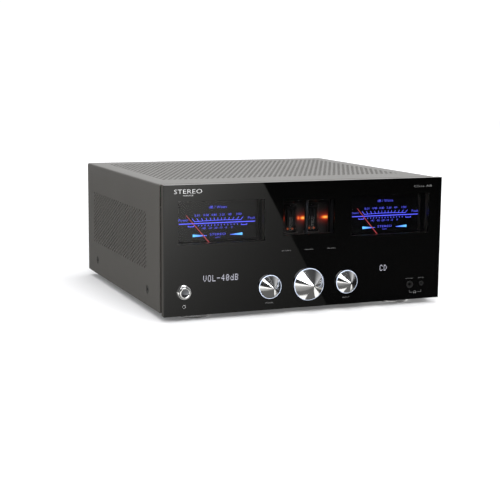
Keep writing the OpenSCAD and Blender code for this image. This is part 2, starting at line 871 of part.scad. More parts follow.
// A rocker with two faces in a shallow V, tilted to one side
module mains_rocker() {
    tilt = 8;
    color([0.12, 0.12, 0.12]) translate([inlet_x, panel_back - 2, rocker_z])
        rotate([tilt, 0, 0]) {
            rotate([90, 0, 90]) linear_extrude(10, center = true)
                polygon([[-3.6, -5], [3.2, -8.6], [4.6, -8.6], [3.4, 0], [4.6, 8.6],
                    [3.2, 8.6], [-3.6, 5]]);
            rotate([0, 90, 0]) cylinder(h = 11.4, r = 1, center = true);
        }
}

chassis_tray();
rear_panel();
top_cover();
front_frame();
front_glass();
front_subpanel();
meter_housings();
meter_dials();
meter_movements();
left_needle();
right_needle();
tube_window_frame();
tube_bracket();
tube_sockets();
tube_envelopes();
tube_cores();
left_display();
right_display();
indicator_leds();
control_board();
encoders();
volume_shaft();
volume_knob();
mode_shaft();
mode_knob();
input_shaft();
input_knob();
power_bezel();
power_button();
power_switch();
headphone_jack();
aux_jack();
foot_rings();
foot_pads();
foot_screws();
cover_screws();
rear_screws();
transformer();
transformer_clamp();
filter_capacitors();
supply_board();
amp_boards();
heatsinks();
output_transistors();
board_standoffs();
input_board();
rca_sockets();
xlr_sockets();
digital_sockets();
speaker_terminals();
post_cap_1();
post_cap_2();
post_cap_3();
post_cap_4();
ground_terminal();
ground_nut();
mains_inlet();
mains_switch();
mains_rocker();
ribbon_cable();
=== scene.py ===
"""An integrated amplifier with two power meters and a valve window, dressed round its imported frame."""

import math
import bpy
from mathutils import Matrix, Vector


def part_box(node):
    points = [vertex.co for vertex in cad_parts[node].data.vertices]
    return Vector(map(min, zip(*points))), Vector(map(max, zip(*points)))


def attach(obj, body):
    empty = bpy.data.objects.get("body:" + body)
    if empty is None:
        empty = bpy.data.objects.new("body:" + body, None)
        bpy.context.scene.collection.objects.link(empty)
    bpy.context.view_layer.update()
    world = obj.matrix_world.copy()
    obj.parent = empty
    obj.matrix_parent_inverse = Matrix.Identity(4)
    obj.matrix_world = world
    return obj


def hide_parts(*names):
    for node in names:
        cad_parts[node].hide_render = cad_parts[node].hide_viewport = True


bl_info = {
    "name": "Integrated Amplifier",
    "version": (1, 0, 0),
    "blender": (4, 5, 0),
    "location": "3D View > Sidebar > Amplifier",
    "description": "Models the visible pieces of an integrated amplifier and gives each its finish",
    "category": "Object",
}

import bmesh
import bpy
from mathutils import Matrix, Vector

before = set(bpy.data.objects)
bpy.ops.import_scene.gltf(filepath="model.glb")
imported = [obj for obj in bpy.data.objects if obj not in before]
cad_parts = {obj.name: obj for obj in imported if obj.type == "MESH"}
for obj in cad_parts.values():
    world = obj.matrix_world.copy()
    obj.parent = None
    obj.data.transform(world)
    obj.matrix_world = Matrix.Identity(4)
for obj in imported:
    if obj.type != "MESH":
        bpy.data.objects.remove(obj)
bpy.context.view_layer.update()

MM = 0.001
NEAR = 0.02 * MM
TURN = math.tau
OUT_FRONT = Vector((0, -1, 0))
OUT_REAR = Vector((0, 1, 0))
UP = Vector((0, 0, 1))
ACROSS = Vector((1, 0, 0))

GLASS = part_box("front_glass")
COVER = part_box("top_cover")
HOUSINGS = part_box("meter_housings")
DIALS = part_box("meter_dials")
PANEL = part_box("rear_panel")
FACE_Y = GLASS[0].y
MASK_Y = GLASS[1].y


# ---------- modelling by hand ----------

def start():
    """Leaves edit mode and deselects everything."""
    if bpy.context.mode != "OBJECT":
        bpy.ops.object.mode_set(mode="OBJECT")
    bpy.ops.object.select_all(action="DESELECT")


def hold(piece):
    """Selects one piece alone and makes it the active one."""
    start()
    piece.select_set(True)
    bpy.context.view_layer.objects.active = piece
    return piece


def edit(piece):
    """Opens a piece in edit mode with all of it selected."""
    hold(piece)
    bpy.ops.object.mode_set(mode="EDIT")
    bpy.ops.mesh.select_mode(type="VERT")
    bpy.ops.mesh.select_all(action="SELECT")


def settle(piece, name=None):
    """Writes a piece's place, turn and size into its mesh, and names it."""
    hold(piece)
    bpy.ops.object.transform_apply(location=True, rotation=True, scale=True)
    if name:
        piece.name = name
        piece.data.name = name
    return piece


def pick(kind, test):
    """Selects only those vertices, edges or faces of the open mesh that pass a test."""
    bpy.ops.mesh.select_mode(type=kind)
    bpy.ops.mesh.select_all(action="DESELECT")
    data = bpy.context.edit_object.data
    mesh = bmesh.from_edit_mesh(data)
    parts = {"VERT": mesh.verts, "EDGE": mesh.edges, "FACE": mesh.faces}[kind]
    for part in parts:
        if test(part):
            part.select_set(True)
    mesh.select_flush_mode()
    bmesh.update_edit_mesh(data)


def extrude(step):
    """Extrudes the selection by a step."""
    bpy.ops.mesh.extrude_region_move(TRANSFORM_OT_translate={"value": step})


def resize(x, y, z, about):
    """Scales the selection about a point."""
    bpy.ops.transform.resize(value=(x, y, z), center_override=about)


def outward(piece):
    """Merges doubles, turns the faces outwards and leaves edit mode."""
    edit(piece)
    bpy.ops.mesh.remove_doubles(threshold=NEAR / 10)
    bpy.ops.mesh.normals_make_consistent(inside=False)
    start()
    return piece


def smooth(piece, degrees=35):
    """Shades a piece smooth, except across edges sharper than an angle."""
    hold(piece)
    bpy.ops.object.shade_smooth_by_angle(angle=math.radians(degrees))
    return piece


def apply_modifier(piece, kind, **settings):
    """Adds a modifier with its settings and applies it."""
    hold(piece)
    bpy.ops.object.modifier_add(type=kind)
    modifier = piece.modifiers[-1]
    for key, value in settings.items():
        setattr(modifier, key, value)
    bpy.ops.object.modifier_apply(modifier=modifier.name)
    return piece


def repeat(piece, count, step):
    """Repeats a piece in line, welded where the repeats touch."""
    return apply_modifier(piece, "ARRAY", count=count, use_relative_offset=False,
                          use_constant_offset=True, constant_offset_displace=step,
                          use_merge_vertices=True, merge_threshold=NEAR)


def join(name, pieces):
    """Joins pieces into one."""
    start()
    for piece in pieces:
        piece.select_set(True)
    bpy.context.view_layer.objects.active = pieces[0]
    if len(pieces) > 1:
        bpy.ops.object.join()
    return settle(pieces[0], name)


def twin(piece, place=None):
    """A copy of a piece with its own mesh, at a place given as a matrix."""
    copy = piece.copy()
    copy.data = piece.data.copy()
    bpy.context.scene.collection.objects.link(copy)
    if place is not None:
        copy.matrix_world = place @ piece.matrix_world
        settle(copy)
    return copy


def copies(name, piece, places):
    """One piece made of copies of another, one at each place."""
    made = [twin(piece, place) for place in places]
    bpy.data.objects.remove(piece)
    return join(name, made)


def at(x, y, z):
    """A place as a matrix."""
    return Matrix.Translation((x, y, z))


def turn(degrees, axis):
    """A turn about an axis as a matrix."""
    return Matrix.Rotation(math.radians(degrees), 4, axis)


def block(name, low, high, edge=0.0, steps=2):
    """A block between two corners with its edges bevelled."""
    start()
    low = Vector(low)
    high = Vector(high)
    bpy.ops.mesh.primitive_cube_add(size=1, location=(low + high) / 2)
    piece = bpy.context.object
    piece.scale = high - low
    settle(piece, name)
    edit(piece)
    if edge:
        bpy.ops.mesh.bevel(offset=edge, segments=steps, affect="EDGES")
    start()
    return piece


def turned(name, profile, centre, axis, steps=64, side=None, angle=30):
    """A turned piece: a profile of (radius, height) points, spun about an axis through a centre."""
    axis = Vector(axis)
    centre = Vector(centre)
    side = Vector(side) if side else (ACROSS if abs(axis.x) < 0.5 else UP)
    points = [centre + side * r + axis * h for r, h in profile]
    start()
    bpy.ops.mesh.primitive_plane_add(size=MM, location=(0, 0, 0))
    piece = bpy.context.object
    edit(piece)
    bpy.ops.mesh.merge(type="CENTER")
    bpy.ops.mesh.select_mode(type="VERT")
    bpy.ops.transform.translate(value=points[0])
    for here, there in zip(points, points[1:]):
        bpy.ops.mesh.extrude_vertices_move(TRANSFORM_OT_translate={"value": there - here})
    bpy.ops.mesh.select_all(action="SELECT")
    bpy.ops.mesh.spin(steps=steps, angle=TURN, center=centre, axis=axis)
    outward(piece)
    settle(piece, name)
    return smooth(piece, angle)


def lettering(words, height, place, facing=OUT_FRONT, width=None, thick=0.06 * MM, align="CENTER"):
    """Raised ink lettering on a front or rear face, its capitals of a given height."""
    start()
    bpy.ops.object.text_add(location=(0, 0, 0))
    text = bpy.context.object
    text.data.body = words
    text.data.size = height / 0.73
    text.data.offset = -0.014 * text.data.size
    text.data.align_x = align
    text.data.align_y = "CENTER"
    text.data.resolution_u = 2
    text.data.extrude = thick / 2
    bpy.ops.object.convert(target="MESH")
    piece = bpy.context.object
    if width:
        piece.scale.x = width / piece.dimensions.x
    piece.rotation_euler = (math.pi / 2, 0, 0 if facing.y < 0 else math.pi)
    piece.location = place
    return settle(piece)


def stroke(x0, z0, x1, z1, y, thick, end_thick=None):
    """A thin printed bar between two points of a plane that faces the front."""
    end_thick = end_thick or thick
    long = math.hypot(x1 - x0, z1 - z0)
    start()
    bpy.ops.mesh.primitive_cube_add(size=1, location=(0, 0, 0))
    piece = bpy.context.object
    piece.scale = (long, 0.1 * MM, thick)
    settle(piece)
    if end_thick != thick:
        edit(piece)
        pick("VERT", lambda v: v.co.x > 0)
        resize(1, 1, end_thick / thick, (long / 2, 0, 0))
        start()
    piece.rotation_euler = (0, -math.atan2(z1 - z0, x1 - x0), 0)
    piece.location = ((x0 + x1) / 2, y, (z0 + z1) / 2)
    return settle(piece)


def fit(piece, body, finish, slot, *stands_for):
    """Gives a finished piece its material and body, and the nodes that it stands for. The slot is not used.
    """
    piece.data.materials.clear()
    piece.data.materials.append(finish)
    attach(piece, body)
    if stands_for:
        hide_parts(*stands_for)
    return piece


# ---------- finishes ----------

class Signal:
    """A socket in a shader. Python's arithmetic on it adds Math nodes."""

    def __init__(self, finish, socket):
        self.finish = finish
        self.socket = socket

    def maths(self, operation, first, second=0.0):
        return self.finish.node("ShaderNodeMath", {"operation": operation}, {0: first, 1: second})

    def __add__(self, other):
        return self.maths("ADD", self, other)

    def __radd__(self, other):
        return self.maths("ADD", other, self)

    def __sub__(self, other):
        return self.maths("SUBTRACT", self, other)

    def __rsub__(self, other):
        return self.maths("SUBTRACT", other, self)

    def __mul__(self, other):
        return self.maths("MULTIPLY", self, other)

    def __rmul__(self, other):
        return self.maths("MULTIPLY", other, self)

    def __truediv__(self, other):
        return self.maths("DIVIDE", self, other)

    def __rtruediv__(self, other):
        return self.maths("DIVIDE", other, self)

    def __pow__(self, other):
        return self.maths("POWER", self, other)

    def __rpow__(self, other):
        return self.maths("POWER", other, self)

    def __lt__(self, other):
        return self.maths("LESS_THAN", self, other)

    def __gt__(self, other):
        return self.maths("GREATER_THAN", self, other)

    def __neg__(self):
        return self.maths("MULTIPLY", self, -1.0)

    def __abs__(self):
        return self.maths("ABSOLUTE", self)

    def clamped(self):
        """This value, held between 0 and 1."""
        return self.finish.node("ShaderNodeClamp", {}, {"Value": self})


class Finish:
    """A material in the making, with short ways to add its nodes."""

    def __init__(self, name, colour=(0.8, 0.8, 0.8), roughness=0.5, metallic=0.0, **more):
        self.material = bpy.data.materials.new(name)
        self.material.use_nodes = True
        self.tree = self.material.node_tree
        self.shader = self.tree.nodes["Principled BSDF"]
        self.spot = None
        self.set("Base Color", (*colour, 1))
        self.set("Roughness", roughness)
        self.set("Metallic", metallic)
        for key, value in more.items():
            self.set(key.replace("_", " ").title().replace("Ior", "IOR"), value)

    def set(self, socket, value):
        """Feeds a socket of the shader."""
        self.feed(self.shader.inputs[socket], value)

    def feed(self, socket, value):
        """Links a signal to a socket, or sets its value."""
        if isinstance(value, Signal):
            self.tree.links.new(value.socket, socket)
        else:
            socket.default_value = value

    def node(self, kind, settings=None, inputs=None, output=0):
        """Adds a node: its settings first, then its inputs."""
        made = self.tree.nodes.new(kind)
        for key, value in (settings or {}).items():
            if key == "stops":
                self.lay_stops(made.color_ramp, value)
            else:
                setattr(made, key, value)
        for key, value in (inputs or {}).items():
            self.feed(made.inputs[key], value)
        return Signal(self, made.outputs[output])

    @staticmethod
    def lay_stops(ramp, stops):
        """Sets the stops of a colour ramp, each a position and a grey or a colour."""
        while len(ramp.elements) < len(stops):
            ramp.elements.new(1.0)
        for element, (position, colour) in zip(ramp.elements, stops):
            element.position = position
            element.color = (colour,) * 3 + (1,) if isinstance(colour, float) else (*colour, 1)

    def place(self, scale=(1, 1, 1), centre=(0, 0, 0)):
        """Object coordinates, measured from a centre and scaled."""
        if self.spot is None:
            self.spot = self.node("ShaderNodeTexCoord", output="Object")
        back = [-c * s for c, s in zip(centre, scale)]
        return self.node("ShaderNodeMapping", {}, {"Vector": self.spot, "Location": back, "Scale": scale})

    def axes(self, scale=(1, 1, 1), centre=(0, 0, 0)):
        """The three coordinates as values."""
        place = self.place(scale, centre)
        return [self.node("ShaderNodeSeparateXYZ", {}, {0: place}, axis) for axis in range(3)]

    def noise(self, scale, detail=3.0, stretch=(1, 1, 1), roughness=0.5):
        """Noise of a scale per metre, from 0 to 1."""
        return self.node("ShaderNodeTexNoise", {}, {"Vector": self.place(stretch), "Scale": scale,
                                                    "Detail": detail, "Roughness": roughness})

    def ramp(self, value, stops, interpolation="LINEAR"):
        """A colour ramp over a value."""
        made = self.node("ShaderNodeValToRGB", {"stops": stops}, {"Fac": value})
        made.socket.node.color_ramp.interpolation = interpolation
        return made

    def mix(self, factor, first, second):
        """A blend of two colours."""
        colours = [c if isinstance(c, Signal) else (*c, 1) for c in (first, second)]
        return self.node("ShaderNodeMix", {"data_type": "RGBA"},
                         {0: factor, 6: colours[0], 7: colours[1]}, 2)

    def bump(self, height, depth, strength=1.0):
        """Feeds the shader's normal from a height of 0 to 1 times a depth."""
        self.set("Normal", self.node("ShaderNodeBump", {}, {"Strength": strength, "Distance": depth,
                                                            "Height": height}))


def tint(colour, share):
    """A colour made darker or lighter."""
    return tuple(min(1.0, c * share) for c in colour)


def painted(name, colour, roughness=0.42, grain=1.0):
    """Baked paint with a fine orange peel."""
    f = Finish(name, colour, roughness)
    cloud = f.noise(14, 2)
    peel = f.noise(1400, 2)
    f.set("Base Color", f.mix(cloud, tint(colour, 0.94), tint(colour, 1.06)))
    f.set("Roughness", cloud * 0.06 + peel * 0.06 + (roughness - 0.06))
    f.bump(peel, 0.04 * MM * grain)
    return f.material


def brushed(name, colour, along, roughness=0.3, depth=0.01):
    """Metal brushed along one axis (0, 1 or 2)."""
    f = Finish(name, colour, roughness, 1.0)
    stretch = [1.0, 1.0, 1.0]
    stretch[along] = 0.02
    lines = f.noise(2600, 3, stretch)
    f.set("Base Color", f.mix(lines, tint(colour, 0.88), tint(colour, 1.08)))
    f.set("Roughness", lines * 0.14 + (roughness - 0.07))
    f.bump(lines, depth * MM)
    return f.material


def plated(name, colour, roughness=0.18):
    """Plated metal, bright with faint handling marks."""
    f = Finish(name, colour, roughness, 1.0)
    marks = f.noise(260, 4)
    f.set("Base Color", f.mix(marks, tint(colour, 0.9), tint(colour, 1.05)))
    f.set("Roughness", marks * 0.16 + (roughness - 0.06))
    f.bump(marks, 0.01 * MM)
    return f.material


def moulded(name, colour, roughness=0.45, depth=0.02):
    """Moulded plastic or rubber with a fine texture."""
    f = Finish(name, colour, roughness)
    cloud = f.noise(60, 2)
    texture = f.noise(2200, 2)
    f.set("Base Color", f.mix(cloud, tint(colour, 0.85), tint(colour, 1.15)))
    f.set("Roughness", texture * 0.12 + (roughness - 0.06))
    f.bump(texture, depth * MM)
    return f.material


def unlit(name, colour, sheen=0.05):
    """A dull black surface behind a window, with hardly any gloss."""
    f = Finish(name, colour, 0.7, specular_ior_level=sheen)
    texture = f.noise(1800, 2)
    f.set("Base Color", f.mix(texture, tint(colour, 0.7), tint(colour, 1.3)))
    f.set("Roughness", texture * 0.15 + 0.65)
    return f.material


def glazed(name, colour):
    """Polished black, as a dark display behind its window."""
    f = Finish(name, colour, 0.02, specular_ior_level=0.25)
    smear = f.noise(30, 3)
    f.set("Base Color", f.mix(smear, tint(colour, 0.8), tint(colour, 1.2)))
    f.set("Roughness", smear * 0.03 + 0.01)
    return f.material


def lit(name, colour, strength, dark=(0.01, 0.01, 0.01)):
    """A lit print or lens, a little uneven."""
    f = Finish(name, dark, 0.5, emission_strength=strength)
    cloud = f.noise(120, 2)
    f.set("Emission Color", f.mix(cloud, tint(colour, 0.8), tint(colour, 1.0)))
    f.set("Base Color", f.mix(cloud, dark, tint(colour, 0.15)))
    return f.material


def see_through(name, colour, top=None):
    """Clear glass or acrylic as a thin skin: it mirrors by the viewing angle and lets the rest through."""
    f = Finish(name, colour, 0.02, 1.0)
    smear = f.noise(30, 3)
    f.set("Roughness", smear * 0.03 + 0.005)
    gloss = f.node("ShaderNodeFresnel", {}, {"IOR": 1.49})
    f.set("Alpha", gloss if top is None else top(f, gloss))
    return f.material


# ---------- settings ----------

def length(name, description, default):
    """A length property, in metres."""
    return bpy.props.FloatProperty(name=name, description=description, default=default,
                                   min=0.0, unit="LENGTH", precision=5)


def shade(name, description, default):
    """A colour property."""
    return bpy.props.FloatVectorProperty(name=name, description=description, default=default,
                                         size=3, min=0.0, max=1.0, subtype="COLOR")


class CoverSettings(bpy.types.PropertyGroup):
    """Sizes and colour of the folded sheet cover."""

    top_pitch: length("Top pitch", "Distance between holes on the top", 8.12 * MM)
    top_radius: length("Top hole radius", "Radius of a hole on the top", 2.5 * MM)
    side_pitch: length("Side pitch", "Distance between holes on a side", 6.05 * MM)
    side_radius: length("Side hole radius", "Radius of a hole on a side", 1.95 * MM)
    sheet: length("Sheet", "Thickness of the sheet metal", 1.5 * MM)
    bend: length("Bend", "Outside radius of a bend", 3 * MM)
    flange: length("Flange", "Width of the rear return flange", 9 * MM)
    paint: shade("Paint", "Colour of the baked paint", (0.062, 0.058, 0.052))


class FrontSettings(bpy.types.PropertyGroup):
    """Sizes and colours of the front panel."""

    meter_width: length("Meter width", "Width of a meter window", 127 * MM)
    meter_height: length("Meter height", "Height of a meter window", 58.5 * MM)
    meter_rise: length("Meter rise", "Height of a meter window's centre", 135.7 * MM)
    valve_width: length("Valve window width", "Width of the valve window", 79 * MM)
    valve_height: length("Valve window height", "Height of the valve window", 48.6 * MM)
    valve_rise: length("Valve window rise", "Height of the valve window's centre", 137 * MM)
    acrylic: shade("Acrylic", "Colour of the printed acrylic", (0.0004, 0.0004, 0.0004))
    strip: shade("Frame", "Colour of the brushed frame", (0.17, 0.157, 0.142))
    ink: shade("Ink", "Colour of the printed words", (0.5, 0.5, 0.5))


class MeterSettings(bpy.types.PropertyGroup):
    """Colours and brightness of the meters."""

    print_colour: shade("Print", "Colour of the lit scale", (0.085, 0.1, 1.0))
    wedge_colour: shade("Wedge", "Colour of a wedge's broad end", (0.11, 0.5, 1.0))
    needle: shade("Needle", "Colour of the needles", (0.55, 0.05, 0.06))
    glow: bpy.props.FloatProperty(name="Glow", description="Brightness of the scale", default=1.4,
                                  min=0.0)


class KnobSettings(bpy.types.PropertyGroup):
    """Finish of the turned knobs."""

    metal: shade("Metal", "Colour of the turned metal", (0.86, 0.865, 0.875))
    ridge_pitch: length("Ridge pitch", "Distance between the ridges that the lathe leaves", 0.5 * MM)
    ridge_depth: length("Ridge depth", "Depth of those ridges", 0.006 * MM)


class ValveSettings(bpy.types.PropertyGroup):
    """Sizes of the valves."""

    radius: length("Radius", "Radius of a valve's glass", 10.5 * MM)
    height: length("Height", "Height of a valve's glass without its tip", 46 * MM)


class StageSettings(bpy.types.PropertyGroup):
    """Camera and light."""

    lens: bpy.props.FloatProperty(name="Lens", description="Focal length", default=81.9, min=1.0,
                                  unit="CAMERA")
    floor: shade("Floor", "Colour of the floor", (0.72, 0.72, 0.73))
    sky: bpy.props.FloatProperty(name="Sky", description="Brightness of the surroundings",
                                 default=0.7, min=0.0)


class AmplifierSettings(bpy.types.PropertyGroup):
    """All settings of the amplifier."""

    cover: bpy.props.PointerProperty(type=CoverSettings)
    front: bpy.props.PointerProperty(type=FrontSettings)
    meter: bpy.props.PointerProperty(type=MeterSettings)
    knob: bpy.props.PointerProperty(type=KnobSettings)
    valve: bpy.props.PointerProperty(type=ValveSettings)
    stage: bpy.props.PointerProperty(type=StageSettings)


def settings():
    """The settings on the scene."""
    return bpy.context.scene.amplifier


# ---------- the cover ----------

def draw_out(axis, here, there):
    """Draws the sheet's free edges at one coordinate out to another, as plain sheet."""
    pick("EDGE", lambda e: e.is_boundary and all(abs(v.co[axis] - here) < NEAR for v in e.verts))
    step = Vector((0, 0, 0))
    step[axis] = there - here
    extrude(step)


def holed_square(sides, radius, half):
    """A flat square of sheet with a round hole, centred on the origin."""
    start()
    bpy.ops.mesh.primitive_circle_add(vertices=sides, radius=radius, location=(0, 0, 0))
    piece = bpy.context.object
    edit(piece)
    extrude((0, 0, 0))
    resize(half / radius, half / radius, 1, (0, 0, 0))
    for step in range(1, sides // 8 + 1):
        shrink = math.cos(TURN / sides * step)
        pick("VERT", lambda v: v.co.length > 0.99 * half
             and abs(max(abs(v.co.x), abs(v.co.y)) - half * shrink) < NEAR)
        resize(1 / shrink, 1 / shrink, 1, (0, 0, 0))
    start()
    return piece


def perforated(columns, rows, pitch, radius):
    """Sheet with rows of holes, every second row half a pitch over, centred on the origin."""
    long_row = holed_square(8, radius, pitch / 2)
    short_row = twin(long_row, at(pitch / 2, pitch, 0))
    repeat(long_row, columns, (pitch, 0, 0))
    repeat(short_row, columns - 1, (pitch, 0, 0))
    edit(short_row)
    draw_out(0, 0, -pitch / 2)
    draw_out(0, (columns - 1) * pitch, (columns - 0.5) * pitch)
    start()
    piece = join("perforated", [long_row, short_row])
    repeat(piece, rows // 2, (0, 2 * pitch, 0))
    edit(piece)
    bpy.ops.mesh.remove_doubles(threshold=NEAR)
    start()
    piece.location = (-(columns - 1) * pitch / 2, -(rows - 1) * pitch / 2, 0)
    return settle(piece)


def screw_strip(y_places, z, radius, half):
    """A strip of the left side with a round hole for each screw, up to its upper edge."""
    patches = []
    for y in y_places:
        patch = holed_square(16, radius, half)
        patch.location = (y, z, 0)
        patches.append(settle(patch))
    strip = join("screw_strip", patches)
    edit(strip)
    draw_out(0, y_places[0] + half, y_places[1] - half)
    draw_out(0, y_places[0] - half, COVER[0].y)
    draw_out(0, y_places[1] + half, COVER[1].y)
    bpy.ops.mesh.select_all(action="SELECT")
    bpy.ops.mesh.remove_doubles(threshold=NEAR)
    draw_out(1, z - half, COVER[0].z)
    start()
    return strip


def bridge(heights):
    """Joins two rows of free edges of the open mesh, each at its own height."""
    pick("EDGE", lambda e: e.is_boundary
         and any(all(abs(v.co.z - h) < NEAR for v in e.verts) for h in heights))
    bpy.ops.mesh.bridge_edge_loops()


def cover_side(sizes, top_edge):
    """The left side of the cover below its bend, flat in the YZ plane."""
    centre_y, centre_z = 21.5 * MM, 102.2 * MM
    columns, rows = 48, 14
    lattice = perforated(rows, columns, sizes.side_pitch, sizes.side_radius)
    half_y = columns * sizes.side_pitch / 2
    half_z = rows * sizes.side_pitch / 2
    lattice.rotation_euler = (0, 0, math.pi / 2)
    lattice.location = (centre_y, centre_z, 0)
    settle(lattice)
    edit(lattice)
    draw_out(0, centre_y - half_y, COVER[0].y)
    draw_out(0, centre_y + half_y, COVER[1].y)
    draw_out(1, centre_z + half_z, centre_z + half_z + 3 * MM)
    draw_out(1, centre_z - half_z, centre_z - half_z - 3 * MM)
    start()
    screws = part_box("cover_screws")
    head = 6 * MM
    strip = screw_strip([screws[0].y + head, screws[1].y - head], screws[0].z + head, 6.2 * MM, 13 * MM)
    side = join("cover_side", [lattice, strip])
    side.rotation_euler = (math.pi / 2, 0, math.pi / 2)
    side.location = (COVER[0].x, 0, 0)
    settle(side)
    strip_top = screws[0].z + head + 13 * MM
    edit(side)
    bridge([strip_top, centre_z - half_z - 3 * MM])
    start()
    return side, centre_z + half_z + 3 * MM


def fold_cover():
    """The whole cover: a perforated top, bent down into two perforated sides, with a rear flange."""
    sizes = settings().cover
    top_z = COVER[1].z
    flat_x = COVER[1].x - sizes.bend
    columns, rows = 47, 36
    centre_x, centre_y = 0.0, 24 * MM
    top = perforated(columns, rows, sizes.top_pitch, sizes.top_radius)
    top.location = (centre_x, centre_y, top_z)
    settle(top)
    half_x = columns * sizes.top_pitch / 2
    half_y = rows * sizes.top_pitch / 2
    edit(top)
    draw_out(0, centre_x - half_x, -flat_x)
    draw_out(0, centre_x + half_x, flat_x)
    draw_out(1, centre_y - half_y, COVER[0].y)
    draw_out(1, centre_y + half_y, COVER[1].y)
    for side in (-1, 1):
        pick("EDGE", lambda e: e.is_boundary and all(abs(v.co.x - side * flat_x) < NEAR for v in e.verts))
        bpy.ops.mesh.spin(steps=5, angle=TURN / 4, center=(side * flat_x, 0, top_z - sizes.bend),
                          axis=(0, -side, 0))
    start()
    side, side_top = cover_side(sizes, top_z - sizes.bend)
    other = twin(side)
    other.scale.x = -1
    settle(other)
    cover = join("cover", [top, side, other])
    edit(cover)
    bpy.ops.mesh.remove_doubles(threshold=NEAR / 2)
    for sign in (-1, 1):
        pick("EDGE", lambda e: e.is_boundary and all(v.co.x * sign > flat_x for v in e.verts)
             and (all(abs(v.co.z - side_top) < NEAR for v in e.verts)
                  or all(abs(v.co.z - top_z + sizes.bend) < NEAR for v in e.verts)))
        bpy.ops.mesh.bridge_edge_loops()
    pick("EDGE", lambda e: e.is_boundary and all(abs(v.co.y - COVER[1].y) < NEAR for v in e.verts))
    extrude((0, 0, 0))
    high = top_z - COVER[0].z
    resize((COVER[1].x - sizes.flange) / COVER[1].x, 1, (high - sizes.flange) / high,
           (0, COVER[1].y, COVER[0].z))
    bpy.ops.mesh.select_all(action="SELECT")
    bpy.ops.mesh.normals_make_consistent(inside=False)
    start()
    roof = max(cover.data.polygons, key=lambda p: p.center.z)
    if roof.normal.z < 0:
        edit(cover)
        bpy.ops.mesh.flip_normals()
        start()
    apply_modifier(cover, "SOLIDIFY", thickness=sizes.sheet, offset=-1.0, use_even_offset=True)
    return smooth(cover, 30)


def socket_screw():
    """A button head with a six-sided socket, pointing up, its seat at the origin."""
    head = 6 * MM
    piece = turned("socket_screw", [(0, 0), (head, 0), (head, 0.35 * MM), (head - 0.25 * MM, 0.75 * MM),
                                    (head - 1.2 * MM, 1.1 * MM), (head - 2.4 * MM, 1.2 * MM), (0, 1.2 * MM)],
                   (0, 0, 0), UP, 36)
    start()
    bpy.ops.mesh.primitive_cylinder_add(vertices=6, radius=2.3 * MM, depth=2 * MM,
                                        location=(0, 0, 1.3 * MM))
    key = bpy.context.object
    apply_modifier(piece, "BOOLEAN", operation="DIFFERENCE", object=key)
    bpy.data.objects.remove(key)
    return piece


# ---------- the front ----------

def window_boxes():
    """The windows of the front: (low x, high x, low z, high z) of each.

    The displays shine through the acrylic, so no window is cut for them.
    """
    sizes = settings().front
    meter_x = HOUSINGS[1].x - 3 * MM - sizes.meter_width / 2
    boxes = []
    for x in (-meter_x, meter_x):
        boxes.append((x - sizes.meter_width / 2, x + sizes.meter_width / 2,
                      sizes.meter_rise - sizes.meter_height / 2, sizes.meter_rise + sizes.meter_height / 2))
    boxes.append((-sizes.valve_width / 2, sizes.valve_width / 2,
                  sizes.valve_rise - sizes.valve_height / 2, sizes.valve_rise + sizes.valve_height / 2))
    return boxes


def round_holes():
    """The round holes of the front: x, z and radius of each."""
    holes = []
    for node, radius in (("volume_shaft", 4.5), ("mode_shaft", 4.5), ("input_shaft", 4.5),
                         ("power_bezel", 8.3), ("headphone_jack", 4.5), ("aux_jack", 3.0)):
        middle = sum(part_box(node), Vector()) / 2
        holes.append((middle.x, middle.z, radius * MM))
    return holes


def panel_glass():
    """The acrylic front: a sheet cut at the windows, thickened, its rim bevelled, its holes drilled."""
    start()
    bpy.ops.mesh.primitive_plane_add(size=1, location=(0, 0, 0))
    glass = bpy.context.object
    glass.scale = (GLASS[1].x - GLASS[0].x, GLASS[1].z - GLASS[0].z, 1)
    glass.rotation_euler = (math.pi / 2, 0, 0)
    glass.location = (0, FACE_Y, (GLASS[0].z + GLASS[1].z) / 2)
    settle(glass, "front_acrylic")
    boxes = window_boxes()
    edit(glass)
    for x in sorted({round(x, 6) for b in boxes for x in b[:2]}):
        bpy.ops.mesh.select_all(action="SELECT")
        bpy.ops.mesh.bisect(plane_co=(x, 0, 0), plane_no=(1, 0, 0))
    for z in sorted({round(z, 6) for b in boxes for z in b[2:]}):
        bpy.ops.mesh.select_all(action="SELECT")
        bpy.ops.mesh.bisect(plane_co=(0, 0, z), plane_no=(0, 0, 1))
    def in_window(face):
        c = face.calc_center_median()
        return any(b[0] < c.x < b[1] and b[2] < c.z < b[3] for b in boxes)
    pick("FACE", in_window)
    bpy.ops.mesh.delete(type="FACE")
    bpy.ops.mesh.select_all(action="SELECT")
    extrude((0, MASK_Y - FACE_Y, 0))
    bpy.ops.mesh.select_all(action="SELECT")
    bpy.ops.mesh.normals_make_consistent(inside=False)
    rim = [(0, GLASS[0].x), (0, GLASS[1].x), (2, GLASS[0].z), (2, GLASS[1].z)]
    pick("EDGE", lambda e: any(all(abs(v.co[axis] - c) < NEAR and abs(v.co.y - FACE_Y) < NEAR
                                   for v in e.verts) for axis, c in rim))
    bpy.ops.mesh.bevel(offset=0.35 * MM, segments=2, affect="EDGES")
    start()
    for x, z, radius in round_holes():
        start()
        bpy.ops.mesh.primitive_cylinder_add(vertices=48, radius=radius, depth=0.02,
                                            location=(x, FACE_Y, z), rotation=(math.pi / 2, 0, 0))
        drill = bpy.context.object
        apply_modifier(glass, "BOOLEAN", operation="DIFFERENCE", object=drill)
        bpy.data.objects.remove(drill)
    return smooth(glass, 15)


def window_panes():
    """The clear parts of the acrylic, one pane in each window."""
    gap = 0.03 * MM
    panes = []
    for x0, x1, z0, z1 in window_boxes():
        panes.append(block("pane", (x0 + gap, FACE_Y, z0 + gap), (x1 - gap, MASK_Y, z1 - gap), gap, 1))
    return join("window_panes", panes)


